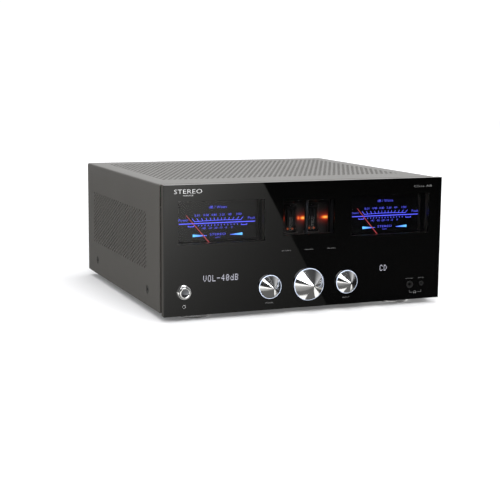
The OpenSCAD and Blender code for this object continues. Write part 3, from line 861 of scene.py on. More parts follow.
def word(words, x, z, height, width=None, align="CENTER"):
    """A printed word on the front, placed in millimetres above the surface."""
    return lettering(words, height * MM, (x * MM, FACE_Y, z * MM),
                     width=width * MM if width else None, align=align)


def line(x0, z0, x1, z1, thick, end=None, y=None):
    """A printed line on the front, in millimetres."""
    return stroke(x0 * MM, z0 * MM, x1 * MM, z1 * MM, FACE_Y if y is None else y, thick * MM,
                  end * MM if end else None)


def ring_print(x, z, radius, thick, y=None, steps=24):
    """A printed ring, in millimetres."""
    y = FACE_Y if y is None else y
    r0, r1, h = (radius - thick / 2) * MM, (radius + thick / 2) * MM, 0.05 * MM
    return turned("ring", [(r0, -h), (r1, -h), (r1, h), (r0, h), (r0, -h)],
                  (x * MM, y, z * MM), OUT_FRONT, steps)


# ---------- the meters ----------

LINE_Z = 132.3


def dial_print(centre):
    """The lit scale of one meter, drawn in millimetres round its centre."""
    y = DIALS[0].y
    parts = []

    def bar(x0, z0, x1, z1, thick, end=None):
        parts.append(line(centre + x0, LINE_Z + z0, centre + x1, LINE_Z + z1, thick, end, y))

    def text(words, x, z, height, width):
        parts.append(lettering(words, height * MM, ((centre + x) * MM, y, (LINE_Z + z) * MM),
                               width=width * MM, thick=0.1 * MM))

    bar(-56.8, 0, 55.7, 0, 1.2)
    span, rise, sag, pieces = 34.5, 2.7, 0.9, 10
    curve = [(-span + 2 * span * i / pieces, rise + sag * (1 - (2 * i / pieces - 1) ** 2))
             for i in range(pieces + 1)]
    for (xa, za), (xb, zb) in zip(curve, curve[1:]):
        bar(xa, za, xb, zb, 0.7)
    for x in (-34.3, -28.1, -21.8, -15.7, -10, -5, 0, 5, 10, 15.7, 21.8, 28.1, 34.3):
        lean = 0.1 * x
        bar(x, 3.2, x + lean, 7.1, 0.75)
    for x, words in zip((-29.8, -17.2, -5.4, 6.3, 17.6, 31), ("0.01", "0.08", "0.80", "3.20", "40", "100")):
        text(words, x, 11, 3.2, 2.0 * len(words.replace(".", "")) + 1.5)
    text("Power", -50.2, 5.2, 3.8, 14)
    text("Peak", 50.3, 4.9, 3.8, 11)
    for i in range(13):
        x = -28 + 56.7 * i / 12
        bar(x, -2, x + 0.03 * x, -4, 0.8)
    for x, words in zip((-20.7, -11.5, -3.4, 4, 11.8, 20.7), ("-40", "-30", "-20", "-10", "-5", "0")):
        text(words, x, -7.1, 3.0, 1.9 * len(words))
    for side in (-1, 1):
        bar(side * 35, -4.1, side * 43.3, -4.1, 0.9)
        bar(side * 35, -4.4, side * 35, -2.4, 0.8)
        bar(side * 43.3, -4.4, side * 43.3, -2.4, 0.8)
    text("dB / Watts", 0, 21.7, 3.8, 26)
    text("STEREO", 0, -16.1, 3.2, 23.5)
    text("meter", 0, -20, 2, 7.5)
    return parts


def wedges(centre):
    """The two tapering bars below one meter's scale."""
    y = DIALS[0].y
    z = LINE_Z - 17.3
    return [line(centre - 16, z, centre - 36.7, z + 0.5, 0.5, 3.6, y),
            line(centre + 18.4, z, centre + 36.7, z + 0.5, 0.5, 3.6, y)]


# ---------- knobs and buttons ----------

def ridged(first, last, pitch, depth):
    """Profile points along a turned face from one (radius, height) to another, with fine ridges."""
    count = max(2, int(abs(first[0] - last[0]) / pitch) * 2)
    points = []
    for i in range(count + 1):
        share = i / count
        radius = first[0] + (last[0] - first[0]) * share
        height = first[1] + (last[1] - first[1]) * share
        points.append((radius, height - (depth if i % 2 else 0)))
    return points


def turned_knob(node):
    """One turned knob on the front: a foot, and a cone that comes to a point, with fine ridges."""
    sizes = settings().knob
    low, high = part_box(node)
    middle = (low + high) / 2
    radius = (high.x - low.x) / 2
    lift = FACE_Y - high.y
    proud = FACE_Y - low.y
    foot = [(0, lift), (radius - 0.4 * MM, lift), (radius - 0.1 * MM, lift + 0.1 * MM),
            (radius, lift + 0.4 * MM), (radius, lift + 1.9 * MM), (radius - 0.15 * MM, lift + 2.3 * MM),
            (radius - 0.5 * MM, lift + 2.7 * MM)]
    cone = ridged((radius - 0.8 * MM, lift + 3 * MM), (1.6 * MM, proud - 0.3 * MM),
                  sizes.ridge_pitch, sizes.ridge_depth)
    tip = [(1.0 * MM, proud - 0.1 * MM), (0, proud)]
    return turned(node.replace("_knob", "_dial"), foot + cone + tip, (middle.x, FACE_Y, middle.z),
                  OUT_FRONT, 96, angle=20)


def knob_rim(node):
    """A pale blue ring let into the edge of a knob; its colour is a painted highlight along the knob's edge.
    """
    low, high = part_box(node)
    middle = (low + high) / 2
    radius = (high.x - low.x) / 2
    lift = FACE_Y - high.y + 2.0 * MM
    profile = [(radius - 1 * MM, lift), (radius - 0.02 * MM, lift), (radius - 0.25 * MM, lift + 0.75 * MM),
               (radius - 0.75 * MM, lift + 1.1 * MM), (radius - 1 * MM, lift + 1 * MM),
               (radius - 1 * MM, lift)]
    return turned(node.replace("_knob", "_rim"), profile, (middle.x, FACE_Y, middle.z), OUT_FRONT, 96)


def knob_mark(node):
    """The small drilled mark in a knob's cone, at rest a little left of the top."""
    low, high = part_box(node)
    middle = (low + high) / 2
    radius = (high.x - low.x) / 2
    reach = 0.42 * radius
    lean = math.radians(140)
    lift = FACE_Y - high.y + 3 * MM
    share = (radius - 0.8 * MM - reach) / (radius - 2.4 * MM)
    rise = lift + share * (FACE_Y - low.y - 0.3 * MM - lift)
    out = Vector((math.cos(lean), 0, math.sin(lean)))
    spot = Vector((middle.x, FACE_Y - rise, middle.z)) + out * reach
    steep = math.atan2(FACE_Y - low.y - 0.3 * MM - lift, radius - 2.4 * MM)
    facing = (OUT_FRONT * math.cos(steep) + out * math.sin(steep)).normalized()
    aside = Vector((math.sin(lean), 0, -math.cos(lean)))
    return turned(node.replace("_knob", "_mark"), [(0, 0), (0.95 * MM, 0), (0.95 * MM, 0.1 * MM),
                                                   (0.7 * MM, 0.04 * MM), (0, 0.01 * MM)],
                  spot, facing, 20, side=aside)


def push_button():
    """The power button: a stem with a round cap and its raised rim, and the dish set into it."""
    low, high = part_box("power_button")
    x, z = (low.x + high.x) / 2, (low.z + high.z) / 2
    radius = (high.x - low.x) / 2
    long = high.y - low.y
    cap = long - 9 * MM
    profile = [(0, 0), (2 * MM, 0), (2 * MM, cap), (radius - 0.4 * MM, cap), (radius, cap + 0.4 * MM),
               (radius, long - 0.8 * MM), (radius - 0.3 * MM, long - 0.2 * MM),
               (radius - 0.8 * MM, long), (radius - 1.9 * MM, long), (radius - 2.4 * MM, long - 0.3 * MM),
               (radius - 2.4 * MM, long - 2 * MM), (0, long - 2 * MM)]
    key = turned("power_key", profile, (x, high.y, z), OUT_FRONT, 72, angle=25)
    edge = radius - 2.43 * MM
    dish = [(0, long - 1.98 * MM), (edge, long - 1.98 * MM), (edge, long - 0.5 * MM), (0, long - 1.9 * MM)]
    return key, turned("power_dish", dish, (x, high.y, z), OUT_FRONT, 72, angle=30)


def button_surround():
    """The turned ring round the power button."""
    low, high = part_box("power_bezel")
    x, z = (low.x + high.x) / 2, (low.z + high.z) / 2
    outer = (high.x - low.x) / 2
    inner = 8.3 * MM
    proud = high.y - low.y
    profile = [(inner, 0), (outer, 0), (outer, 0.5 * MM), (outer - 0.7 * MM, 1.6 * MM),
               (outer - 1.5 * MM, proud - 0.2 * MM), (outer - 1.8 * MM, proud), (inner + 0.3 * MM, proud),
               (inner, proud - 0.3 * MM), (inner, 0)]
    return turned("power_surround", profile, (x, high.y, z), OUT_FRONT, 72)


def jack_collar(node, outer, inner, proud):
    """The bright collar round a jack, just off the panel's face."""
    low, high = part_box(node)
    x, z = (low.x + high.x) / 2, (low.z + high.z) / 2
    profile = [(inner, 0), (outer, 0), (outer, proud * 0.4), (outer - 0.5 * MM, proud),
               (inner + 0.5 * MM, proud), (inner, proud * 0.7), (inner, 0)]
    return turned(node + "_collar", profile, (x, FACE_Y - 0.02 * MM, z), OUT_FRONT, 48)


# ---------- valves ----------

def valve_glass(x, y, z):
    """The glass of one valve: a wall, a domed shoulder and a drawn tip, open at the base."""
    sizes = settings().valve
    r, h, wall = sizes.radius, sizes.height, 0.7 * MM
    dome = [(r * math.cos(a), h - 0.62 * r + 0.62 * r * math.sin(a))
            for a in [TURN / 4 * i / 7 for i in range(7)]]
    tip = [(1.6 * MM, h + 0.2 * MM), (1.2 * MM, h + 1.4 * MM), (0.5 * MM, h + 2.4 * MM), (0, h + 2.5 * MM)]
    outside = [(r, 0.4 * MM)] + dome + tip
    inside = [(max(0, px - wall), pz - wall) for px, pz in reversed(outside[1:-4])]
    profile = [(r - wall, 0.4 * MM)] + outside + [(0, h - 1.2 * MM)] + inside + [(r - wall, 0.4 * MM)]
    return turned("valve_glass", profile, (x, y, z), UP, 48)


def valve_inside(x, y, z):
    """What stands inside one valve: mica discs, two anodes, posts, a getter ring and the base."""
    parts = []
    r = settings().valve.radius
    for rise, reach, thick in ((0.2, 1.0, 2.6), (7, 1.8, 0.8), (34, 1.8, 0.8)):
        parts.append(turned("disc", [(0, 0), (r - reach * MM, 0), (r - reach * MM, thick * MM),
                                     (0, thick * MM)], (x, y, z + rise * MM), UP, 28))
    for side in (-1, 1):
        parts.append(block("anode", (x + (side * 3.6 - 2.8) * MM, y - 4 * MM, z + 7.7 * MM),
                           (x + (side * 3.6 + 2.8) * MM, y + 4 * MM, z + 34.1 * MM), 0.8 * MM, 2))
        parts.append(turned("post", [(0, 0), (0.7 * MM, 0), (0.7 * MM, 36 * MM), (0, 36 * MM)],
                            (x + side * 7.6 * MM, y, z + 0.2 * MM), UP, 12))
    start()
    bpy.ops.mesh.primitive_torus_add(major_radius=4 * MM, minor_radius=0.5 * MM, major_segments=24,
                                     minor_segments=8, location=(x, y, z + 37.5 * MM))
    parts.append(settle(bpy.context.object))
    return parts


def valve_heaters(x, y, z):
    """The glowing heater ends below the anodes of one valve."""
    parts = []
    for side in (-1, 1):
        for rise in (3.2,):
            parts.append(turned("heater", [(0, 0), (0.9 * MM, 0.2 * MM), (1.1 * MM, 1.4 * MM),
                                           (0.7 * MM, 2.6 * MM), (0, 3 * MM)],
                                (x + side * 3.6 * MM, y, z + rise * MM), UP, 14))
    return parts


# ---------- feet, screws and the rear ----------

def foot_ring(x, y):
    """One turned foot: a bright skirt with a rolled lower edge over the rubber pad."""
    low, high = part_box("foot_rings")
    r = 24.7 * MM
    z0, z1 = low.z, high.z
    profile = [(21.98 * MM, z0 + 1.4 * MM), (21.98 * MM, z0 + 0.3 * MM), (22.4 * MM, z0), (r - 1.2 * MM, z0),
               (r - 0.5 * MM, z0 + 0.3 * MM), (r, z0 + 1.1 * MM), (r, z1 - 2 * MM),
               (r - 0.5 * MM, z1 - 1.3 * MM), (r - 0.9 * MM, z1), (5.5 * MM, z1),
               (5.5 * MM, z0 + 1.8 * MM), (21.98 * MM, z0 + 1.8 * MM), (21.98 * MM, z0 + 1.4 * MM)]
    return turned("foot", profile, (x, y, 0), UP, 72)


def foot_pad(x, y):
    """One rubber ring under a foot, with a rounded edge and two shallow grooves."""
    r, low = 21.9 * MM, 0
    profile = [(9 * MM, 0.5 * MM), (9.5 * MM, low), (14 * MM, low), (14.4 * MM, 0.4 * MM),
               (14.8 * MM, low), (18 * MM, low), (18.4 * MM, 0.4 * MM), (18.8 * MM, low),
               (r - 0.6 * MM, low), (r, 0.6 * MM), (r, 3 * MM), (9 * MM, 3 * MM), (9 * MM, 0.5 * MM)]
    return turned("pad", profile, (x, y, 0), UP, 48)


def cross_screw():
    """A domed screw head with a cross recess, pointing up, its seat at the origin."""
    piece = turned("cross_screw", [(0, 0), (3 * MM, 0), (3 * MM, 0.6 * MM), (2.6 * MM, 1.2 * MM),
                                   (1.6 * MM, 1.6 * MM), (0, 1.75 * MM)], (0, 0, 0), UP, 24)
    for wide, deep in ((3.2, 0.7), (0.7, 3.2)):
        cutter = block("cutter", (-wide / 2 * MM, -deep / 2 * MM, 0.9 * MM),
                       (wide / 2 * MM, deep / 2 * MM, 3 * MM))
        apply_modifier(piece, "BOOLEAN", operation="DIFFERENCE", object=cutter)
        bpy.data.objects.remove(cutter)
    return piece


def binding_cap(node):
    """The fluted cap of one speaker terminal, with a hole for a plug."""
    low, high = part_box(node)
    x, z = (low.x + high.x) / 2, (low.z + high.z) / 2
    r, long = (high.x - low.x) / 2, high.y - low.y
    bore = 4.1 * MM
    profile = [(bore, 0), (r - 0.6 * MM, 0), (r, 0.6 * MM), (r, 2 * MM), (r - 0.7 * MM, 2.6 * MM),
               (r - 0.7 * MM, 3.2 * MM), (r, 3.8 * MM), (r, long - 1.2 * MM), (r - 1 * MM, long - 0.1 * MM),
               (bore + 0.6 * MM, long - 0.1 * MM), (bore, long - 0.6 * MM), (bore, 0)]
    piece = turned(node.replace("post_cap", "binding_cap"), profile, (x, low.y, z), OUT_REAR, 96)
    edit(piece)
    pick("VERT", lambda v: v.co.y > low.y + 3.7 * MM and math.hypot(v.co.x - x, v.co.z - z) > r - 0.3 * MM
         and int((math.atan2(v.co.z - z, v.co.x - x) / TURN + 1) * 96 + 0.5) % 4 < 2)
    resize((r - 0.55 * MM) / r, 1, (r - 0.55 * MM) / r, (x, 0, z))
    start()
    return smooth(piece, 25)


def thumb_nut():
    """The knurled nut of the ground terminal."""
    low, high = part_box("ground_nut")
    x, z = (low.x + high.x) / 2, (low.z + high.z) / 2
    r, long, bore = 5.45 * MM, high.y - low.y, 2.5 * MM
    profile = [(bore, 0), (r - 0.8 * MM, 0), (r, 0.8 * MM), (r, long - 0.8 * MM), (r - 0.8 * MM, long),
               (bore + 0.4 * MM, long), (bore, long - 0.4 * MM), (bore, 0)]
    piece = turned("thumb_nut", profile, (x, low.y, z), OUT_REAR, 64)
    edit(piece)
    pick("VERT", lambda v: math.hypot(v.co.x - x, v.co.z - z) > r - 0.1 * MM
         and int((math.atan2(v.co.z - z, v.co.x - x) / TURN + 1) * 64 + 0.5) % 4 < 2)
    resize(0.93, 1, 0.93, (x, 0, z))
    start()
    return smooth(piece, 20)


def socket_collars(z):
    """The coloured insulating rings round one row of phono sockets."""
    first_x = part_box("rca_sockets")[0].x + 6.2 * MM
    parts = []
    for i in range(6):
        x = first_x + i * 20 * MM
        parts.append(turned("collar", [(4.3 * MM, 0), (5.9 * MM, 0), (5.9 * MM, 0.5 * MM),
                                       (5.4 * MM, 1 * MM), (4.3 * MM, 1 * MM), (4.3 * MM, 0)],
                            (x, 204.0 * MM, z), OUT_REAR, 28))
    return parts


# ---------- operators ----------

def wear(node, finish):
    """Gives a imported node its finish."""
    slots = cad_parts[node].data.materials
    for i in range(len(slots)):
        slots[i] = finish


def ink(name, colour, strength=0.0):
    """Printed or lit lettering."""
    return lit(name, colour, strength, tint(colour, 0.9)) if strength else moulded(name, colour, 0.5, 0.0)


class AMP_OT_stage(bpy.types.Operator):
    """Set up the floor, the light and the camera"""

    bl_idname = "amplifier.stage"
    bl_label = "Stage"

    def execute(self, context):
        sizes = settings().stage
        start()
        bpy.ops.mesh.primitive_plane_add(size=12, location=(0, 0, 0))
        floor = settle(bpy.context.object, "floor")
        f = Finish("pale_floor", sizes.floor, 0.9, emission_color=(0.97, 0.98, 1.0, 1))
        cloud = f.noise(2, 3)
        f.set("Base Color", f.mix(cloud, tint(sizes.floor, 0.99), tint(sizes.floor, 1.0)))
        # Painted light: the floor glows by itself, faintly near the object and brighter further out, so shade
        # stays round the object and the open floor turns white.
        x, y = f.axes()[:2]
        plain_to, full_over, glow, more_glow = 0.5, 1.3, 0.1, 0.42
        away = (((x * x + y * y) ** 0.5 - plain_to) / full_over).clamped()
        f.set("Emission Strength", away * more_glow + glow)
        floor.data.materials.append(f.material)
        self.light_sky(sizes)
        self.place_light("overhead_box", (0.3, 0.2, 2.6), (0, 0, 0), 2.2, 2.0, 60)
        self.place_light("front_box", (-0.24, -1.14, 0.70), (0, -0.22, 0.04), 1.15, 0.62, 16)
        self.shine_card()
        self.place_camera(sizes)
        context.scene.view_settings.view_transform = "Standard"
        return {"FINISHED"}

    @staticmethod
    def light_sky(sizes):
        """White to the camera, but in reflections darker in front of the object and to its left."""
        world = bpy.context.scene.world or bpy.data.worlds.new("studio")
        bpy.context.scene.world = world
        world.use_nodes = True
        tree = world.node_tree
        tree.nodes.clear()
        where = tree.nodes.new("ShaderNodeTexCoord")
        split = tree.nodes.new("ShaderNodeSeparateXYZ")
        slope, aside = (tree.nodes.new("ShaderNodeMapRange") for _ in range(2))
        for fade, begin, end, least in ((slope, -0.25, 0.15, 0.05), (aside, -0.3, 0.1, 0.22)):
            fade.inputs["From Min"].default_value = begin
            fade.inputs["From Max"].default_value = end
            fade.inputs["To Min"].default_value = least
        both = tree.nodes.new("ShaderNodeMath")
        both.operation = "MULTIPLY"
        path = tree.nodes.new("ShaderNodeLightPath")
        seen = tree.nodes.new("ShaderNodeMix")
        seen.inputs[3].default_value = 1.05
        glossy = tree.nodes.new("ShaderNodeMix")
        back = tree.nodes.new("ShaderNodeBackground")
        back.inputs["Color"].default_value = (1, 1, 1, 1)
        out = tree.nodes.new("ShaderNodeOutputWorld")
        glossy.inputs[2].default_value = sizes.sky
        tree.links.new(where.outputs["Generated"], split.inputs[0])
        tree.links.new(split.outputs[1], slope.inputs["Value"])
        tree.links.new(split.outputs[0], aside.inputs["Value"])
        tree.links.new(slope.outputs[0], both.inputs[0])
        tree.links.new(aside.outputs[0], both.inputs[1])
        tree.links.new(path.outputs["Is Glossy Ray"], glossy.inputs[0])
        tree.links.new(both.outputs[0], glossy.inputs[3])
        tree.links.new(glossy.outputs[0], seen.inputs[2])
        tree.links.new(path.outputs["Is Camera Ray"], seen.inputs[0])
        tree.links.new(seen.outputs[0], back.inputs["Strength"])
        tree.links.new(back.outputs[0], out.inputs[0])

    @staticmethod
    def place_light(name, place, target, wide, high, power):
        """A square light, turned towards a target."""
        lamp = bpy.data.lights.new(name, "AREA")
        lamp.shape = "RECTANGLE"
        lamp.size = wide
        lamp.size_y = high
        lamp.energy = power
        light = bpy.data.objects.new(name, lamp)
        light.location = place
        light.rotation_euler = (Vector(target) - Vector(place)).to_track_quat("-Z", "Y").to_euler()
        bpy.context.scene.collection.objects.link(light)

    @staticmethod
    def shine_card():
        """A glowing sheet just over the floor that only reflections see.

        In front it gives the glass its shine, bright on the left, fading, and black past a slanting
        edge. Under the knobs it has a bright strip for each knob. Behind it is dim.
        """
        start()
        bpy.ops.mesh.primitive_plane_add(size=1, location=(0, 0, 0))
        card = bpy.context.object
        card.scale = (9, 9, 1)
        card.location = (0, 0, 0.3 * MM)
        settle(card, "shine_card")
        f = Finish("shine", (0, 0, 0), 1.0, emission_color=(1.0, 0.99, 0.95, 1))
        x, y = f.axes()[:2]
        front_y, under_y, strip_y = -0.2405, -0.19, -0.223
        left = (y + 0.435) * -0.3277 - 0.136
        edge = (y + 0.258) * -0.3663 + 0.054
        share = (x - left) / 0.28
        fall = (share * (y * 0.33 + 1.65) * -1.0)
        glow = (math.e ** fall) * (y * -0.72 + 0.44)
        low = f.node("ShaderNodeMath", {"operation": "MINIMUM"}, {0: glow, 1: 1.6})
        front = (y < front_y) * low * (x < edge)
        streak = 0.0
        for knob_x in (-0.06, 0.0, 0.06):
            streak = (x > knob_x + 0.03) * (x < knob_x + 0.058) + streak
        near = (y > front_y) * (y < under_y) * (streak * (y > strip_y) * 1.1 + 0.12)
        behind = (y > under_y) * ((x > 0.1) * 0.5 + 0.25)
        f.set("Emission Strength", front + near + behind)
        card.data.materials.append(f.material)
        card.visible_camera = False
        card.visible_diffuse = False
        card.visible_transmission = False
        card.visible_volume_scatter = False
        card.visible_shadow = False

    @staticmethod
    def place_camera(sizes):
        """The camera, in front of the object and to its left."""
        around, rise, roll = math.radians(-22.342), math.radians(8.777), math.radians(0.497)
        back = Vector((math.sin(around) * math.cos(rise), -math.cos(around) * math.cos(rise), math.sin(rise)))
        right = Vector((math.cos(around), math.sin(around), 0))
        up = back.cross(right)
        across = right * math.cos(roll) + up * math.sin(roll)
        upright = up * math.cos(roll) - right * math.sin(roll)
        view = bpy.data.cameras.new("camera")
        view.lens = sizes.lens
        view.sensor_width = 36
        camera = bpy.data.objects.new("camera", view)
        turned_to = Matrix((across, upright, back)).transposed().to_4x4()
        camera.matrix_world = Matrix.Translation((-0.682, -1.6465, 0.3351)) @ turned_to
        bpy.context.scene.collection.objects.link(camera)
        bpy.context.scene.camera = camera


class AMP_OT_cover(bpy.types.Operator):
    """Model the perforated cover and its screws"""

    bl_idname = "amplifier.cover"
    bl_label = "Cover"

    def execute(self, context):
        paint = painted("baked_paint", settings().cover.paint, 0.36)
        fit(fold_cover(), "chassis", paint, "cover_paint", "top_cover")
        low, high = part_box("cover_screws")
        head = 6 * MM
        places = []
        for side, x in ((-1, COVER[0].x + 1.4 * MM), (1, COVER[1].x - 1.4 * MM)):
            for y in (low.y + head, high.y - head):
                places.append(at(x, y, low.z + head) @ turn(90 * side, "Y"))
        screws = copies("cover_heads", socket_screw(), places)
        oxide = moulded("black_oxide", (0.012, 0.012, 0.012), 0.35)
        fit(screws, "chassis", oxide, "screw_black", "cover_screws")
        return {"FINISHED"}


class AMP_OT_front(bpy.types.Operator):
    """Model the acrylic front, its clear windows and its prints"""

    bl_idname = "amplifier.front"
    bl_label = "Front"

    def execute(self, context):
        sizes = settings().front
        f = Finish("black_acrylic", sizes.acrylic, 0.02, ior=1.49)
        smear = f.noise(30, 3)
        f.set("Roughness", smear * 0.03 + 0.005)
        fit(panel_glass(), "chassis", f.material, "front_acrylic", "front_glass")
        clear = see_through("clear_acrylic", (1.0, 1.0, 1.0),
                            lambda f, gloss: gloss * (f.axes()[1] < FACE_Y + 0.2 * MM) * 0.5)
        fit(window_panes(), "chassis", clear, "front_acrylic")
        strip = brushed("brushed_frame", sizes.strip, 0, 0.34, 0.006)
        wear("front_frame", strip)
        grey = ink("print_grey", sizes.ink)
        dim = ink("print_dim", tint(sizes.ink, 0.3))
        fit(join("front_words", self.words()), "chassis", grey, "front_acrylic")
        fit(join("front_small_words", self.small_words()), "chassis", dim, "front_acrylic")
        dots = lit("display_dots", (0.62, 0.62, 0.72), 1.35)
        fit(join("display_words", self.display_words()), "chassis", dots, "display_glass")
        return {"FINISHED"}

    @staticmethod
    def words():
        """The larger prints."""
        return [word("STEREO", -180.5, 178.4, 6.2, 40), word("AMPLIFIER", -180.5, 173.0, 1.9, 15),
                ring_print(-186.5, 20.9, 2.2, 0.3), line(-185.6, 22.0, -184.6, 23.6, 0.3)]

    @staticmethod
    def small_words():
        """The faint prints: labels, signs and the lines below the jacks."""
        parts = [word("Class AB", 183, 175.7, 3.2, 30)]
        for x, words, wide in ((-34.7, "SPEAKERS A", 14), (0.3, "HIGH BIAS", 13), (35.8, "SPEAKERS B", 13)):
            parts.append(word(words, x, 91, 1.5, wide))
        parts.append(word("MODE", -60.5, 18, 2.0, 12))
        parts.append(word("INPUT", 60.5, 18, 2.0, 11))
        parts.append(word("PHONES", 164.7, 39.5, 1.5, 11.5))
        parts.append(word("AUX IN", 184.6, 39.5, 1.5, 10))
        parts.append(ring_print(174.7, 18.6, 1.6, 0.4))
        parts.append(block("cup", (172.4 * MM, FACE_Y - 0.05 * MM, 16.6 * MM),
                           (173.6 * MM, FACE_Y, 18.6 * MM), 0.02 * MM, 1))
        parts.append(block("cup", (175.8 * MM, FACE_Y - 0.05 * MM, 16.6 * MM),
                           (177.0 * MM, FACE_Y, 18.6 * MM), 0.02 * MM, 1))
        parts.append(line(165.4, 21.5, 165.4, 18.4, 0.35))
        parts.append(line(165.4, 18.4, 171.4, 18.4, 0.35))
        parts.append(line(185, 21.5, 185, 18.4, 0.35))
        parts.append(line(178.2, 18.4, 185, 18.4, 0.35))
        return parts

    @staticmethod
    def display_words():
        """The lit dots of both displays, on a five by seven grid for each letter, in millimetres."""
        letter_step, column_step, row_step = 6.65, 0.92, 1.25
        y = FACE_Y - 0.06 * MM
        parts = []
        for words, x0, z0 in (("VOL-40dB", -158.2, 54.4), ("CD", 115.2, 54.1)):
            for i, letter in enumerate(words):
                rows = DOTS[letter]
                for row, bits in enumerate(rows):
                    for column, bit in enumerate(bits):
                        if bit == "#":
                            x = x0 + i * letter_step + column * column_step
                            z = z0 + (6 - row) * row_step
                            parts.append((x, z))
        start()
        bpy.ops.mesh.primitive_plane_add(size=1, location=(0, 0, 0), rotation=(math.pi / 2, 0, 0))
        dot = bpy.context.object
        dot.scale = (0.68 * MM, 0.92 * MM, 1)
        settle(dot, "dot")
        apply_modifier(dot, "SOLIDIFY", thickness=0.05 * MM, offset=1.0)
        pieces = [twin(dot, at(x * MM, y, z * MM)) for x, z in parts]
        bpy.data.objects.remove(dot)
        return pieces


DOTS = {
    "V": ("#...#", "#...#", "#...#", "#...#", "#...#", ".#.#.", "..#.."),
    "O": (".###.", "#...#", "#...#", "#...#", "#...#", "#...#", ".###."),
    "L": ("#....", "#....", "#....", "#....", "#....", "#....", "#####"),
    "-": (".....", ".....", ".....", "#####", ".....", ".....", "....."),
    "4": ("...#.", "..##.", ".#.#.", "#..#.", "#####", "...#.", "...#."),
    "0": (".###.", "#...#", "#..##", "#.#.#", "##..#", "#...#", ".###."),
    "d": ("....#", "....#", ".##.#", "#..##", "#...#", "#...#", ".####"),
    "B": ("####.", "#...#", "#...#", "####.", "#...#", "#...#", "####."),
    "C": (".###.", "#...#", "#....", "#....", "#....", "#...#", ".###."),
    "D": ("###..", "#..#.", "#...#", "#...#", "#...#", "#..#.", "###.."),
}


class AMP_OT_meters(bpy.types.Operator):
    """Model the lit scales of the two power meters"""

    bl_idname = "amplifier.meters"
    bl_label = "Meters"

    def execute(self, context):
        sizes = settings().meter
        centre = HOUSINGS[1].x / MM - 3 - settings().front.meter_width / MM / 2
        blue = lit("scale_print", sizes.print_colour, sizes.glow)
        cyan = self.wedge_glow(sizes, centre * MM)
        for name, x in (("left", -centre), ("right", centre)):
            fit(join(name + "_scale", dial_print(x)), "chassis", blue, "dial_face")
            fit(join(name + "_wedges", wedges(x)), "chassis", cyan, "dial_face")
        wear("meter_dials", glazed("dial_card", (0.001, 0.001, 0.0012)))
        wear("meter_housings", unlit("meter_case", (0.002, 0.002, 0.0022)))
        # The red needles glow a little: painted light on them.
        red = lit("needle_glow", sizes.needle, 0.4, tint(sizes.needle, 0.5))
        wear("left_needle", red)
        wear("right_needle", red)
        wear("meter_movements", plated("movement_metal", (0.5, 0.5, 0.5), 0.3))
        return {"FINISHED"}

    @staticmethod
    def wedge_glow(sizes, centre):
        """Lit print that goes from the scale's blue to a light blue at the broad ends."""
        f = Finish("wedge_print", tint(sizes.wedge_colour, 0.1), 0.5, emission_strength=sizes.glow)
        away = abs(abs(f.axes()[0]) - centre)
        share = ((away - 18 * MM) / (18 * MM)).clamped()
        f.set("Emission Color", f.mix(share, sizes.print_colour, sizes.wedge_colour))
        return f.material


class AMP_OT_valves(bpy.types.Operator):
    """Model the valves and the amber lamps behind them"""

    bl_idname = "amplifier.valves"
    bl_label = "Valves"

    def execute(self, context):
        sizes = settings().valve
        low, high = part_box("tube_envelopes")
        y = (low.y + high.y) / 2
        x = high.x - sizes.radius
        glasses, insides, heaters = [], [], []
        for side in (-1, 1):
            glasses.append(valve_glass(side * x, y, low.z))
            insides += valve_inside(side * x, y, low.z)
            heaters += valve_heaters(side * x, y, low.z)
        glass = see_through("valve_glass", (1.0, 1.0, 1.0), lambda f, gloss: gloss * 0.2)
        fit(join("valve_envelopes", glasses), "chassis", glass, "tube_glass", "tube_envelopes")
        metal = unlit("valve_metal", (0.004, 0.004, 0.0045), 0.06)
        fit(join("valve_cores", insides), "chassis", metal, "tube_metal", "tube_cores")
        glow = lit("heater_glow", (1.0, 0.16, 0.02), 0.35)
        fit(join("valve_heaters", heaters), "chassis", glow, "lamp_amber")
        fit(self.lamp_board(y), "chassis", self.lamp_glow(), "lamp_amber")
        # The valve sockets are coloured near black.
        wear("tube_sockets", moulded("socket_near_black", (0.02, 0.016, 0.014), 0.4))
        wear("tube_bracket", unlit("bracket_paint", (0.006, 0.006, 0.006)))
        wear("tube_window_frame", unlit("window_plastic", (0.006, 0.007, 0.009), 0.2))
        wear("indicator_leds", lit("amber_lamp", (1.0, 0.25, 0.03), 2.0))
        return {"FINISHED"}

    @staticmethod
    def lamp_board(valve_y):
        """The diffuser behind the valves, standing on the rear of their shelf."""
        y = valve_y + 15 * MM
        return block("lamp_diffuser", (-50 * MM, y, 106.05 * MM),
                     (50 * MM, y + 1.5 * MM, 152 * MM), 0.3 * MM)

    @staticmethod
    def lamp_glow():
        """Amber light spots, yellow in the middle and red outside, on a dark diffuser."""
        f = Finish("lamp_glow", (0.01, 0.008, 0.008), 0.5, emission_strength=1.0)
        total = None
        for x, z, wide, high, peak in ((10.1, 130.4, 2.6, 1.4, 0.9), (10.1, 130.4, 6.5, 4.5, 0.22),
                                       (46.1, 130.4, 3.6, 1.3, 0.9), (46.1, 130.4, 8.5, 4.5, 0.22),
                                       (-21, 130.4, 1.6, 2.6, 0.4), (2.5, 130.6, 1.2, 1.8, 0.5)):
            size = Vector((wide, 1, high)) * MM
            place = f.axes([1 / size.x, 0.0, 1 / size.z], (x * MM, 0, z * MM))
            spot = (math.e ** ((place[0] * place[0] + place[2] * place[2]) * -0.5)) * peak
            total = spot if total is None else total + spot
        heat = total.clamped()
        colour = f.ramp(heat, [(0.0, (0.0, 0.0, 0.0)), (0.12, (0.1, 0.004, 0.001)),
                               (0.4, (0.75, 0.06, 0.01)), (0.7, (1.0, 0.3, 0.02)),
                               (1.0, (1.0, 0.62, 0.12))])
        f.set("Emission Color", colour)
        return f.material


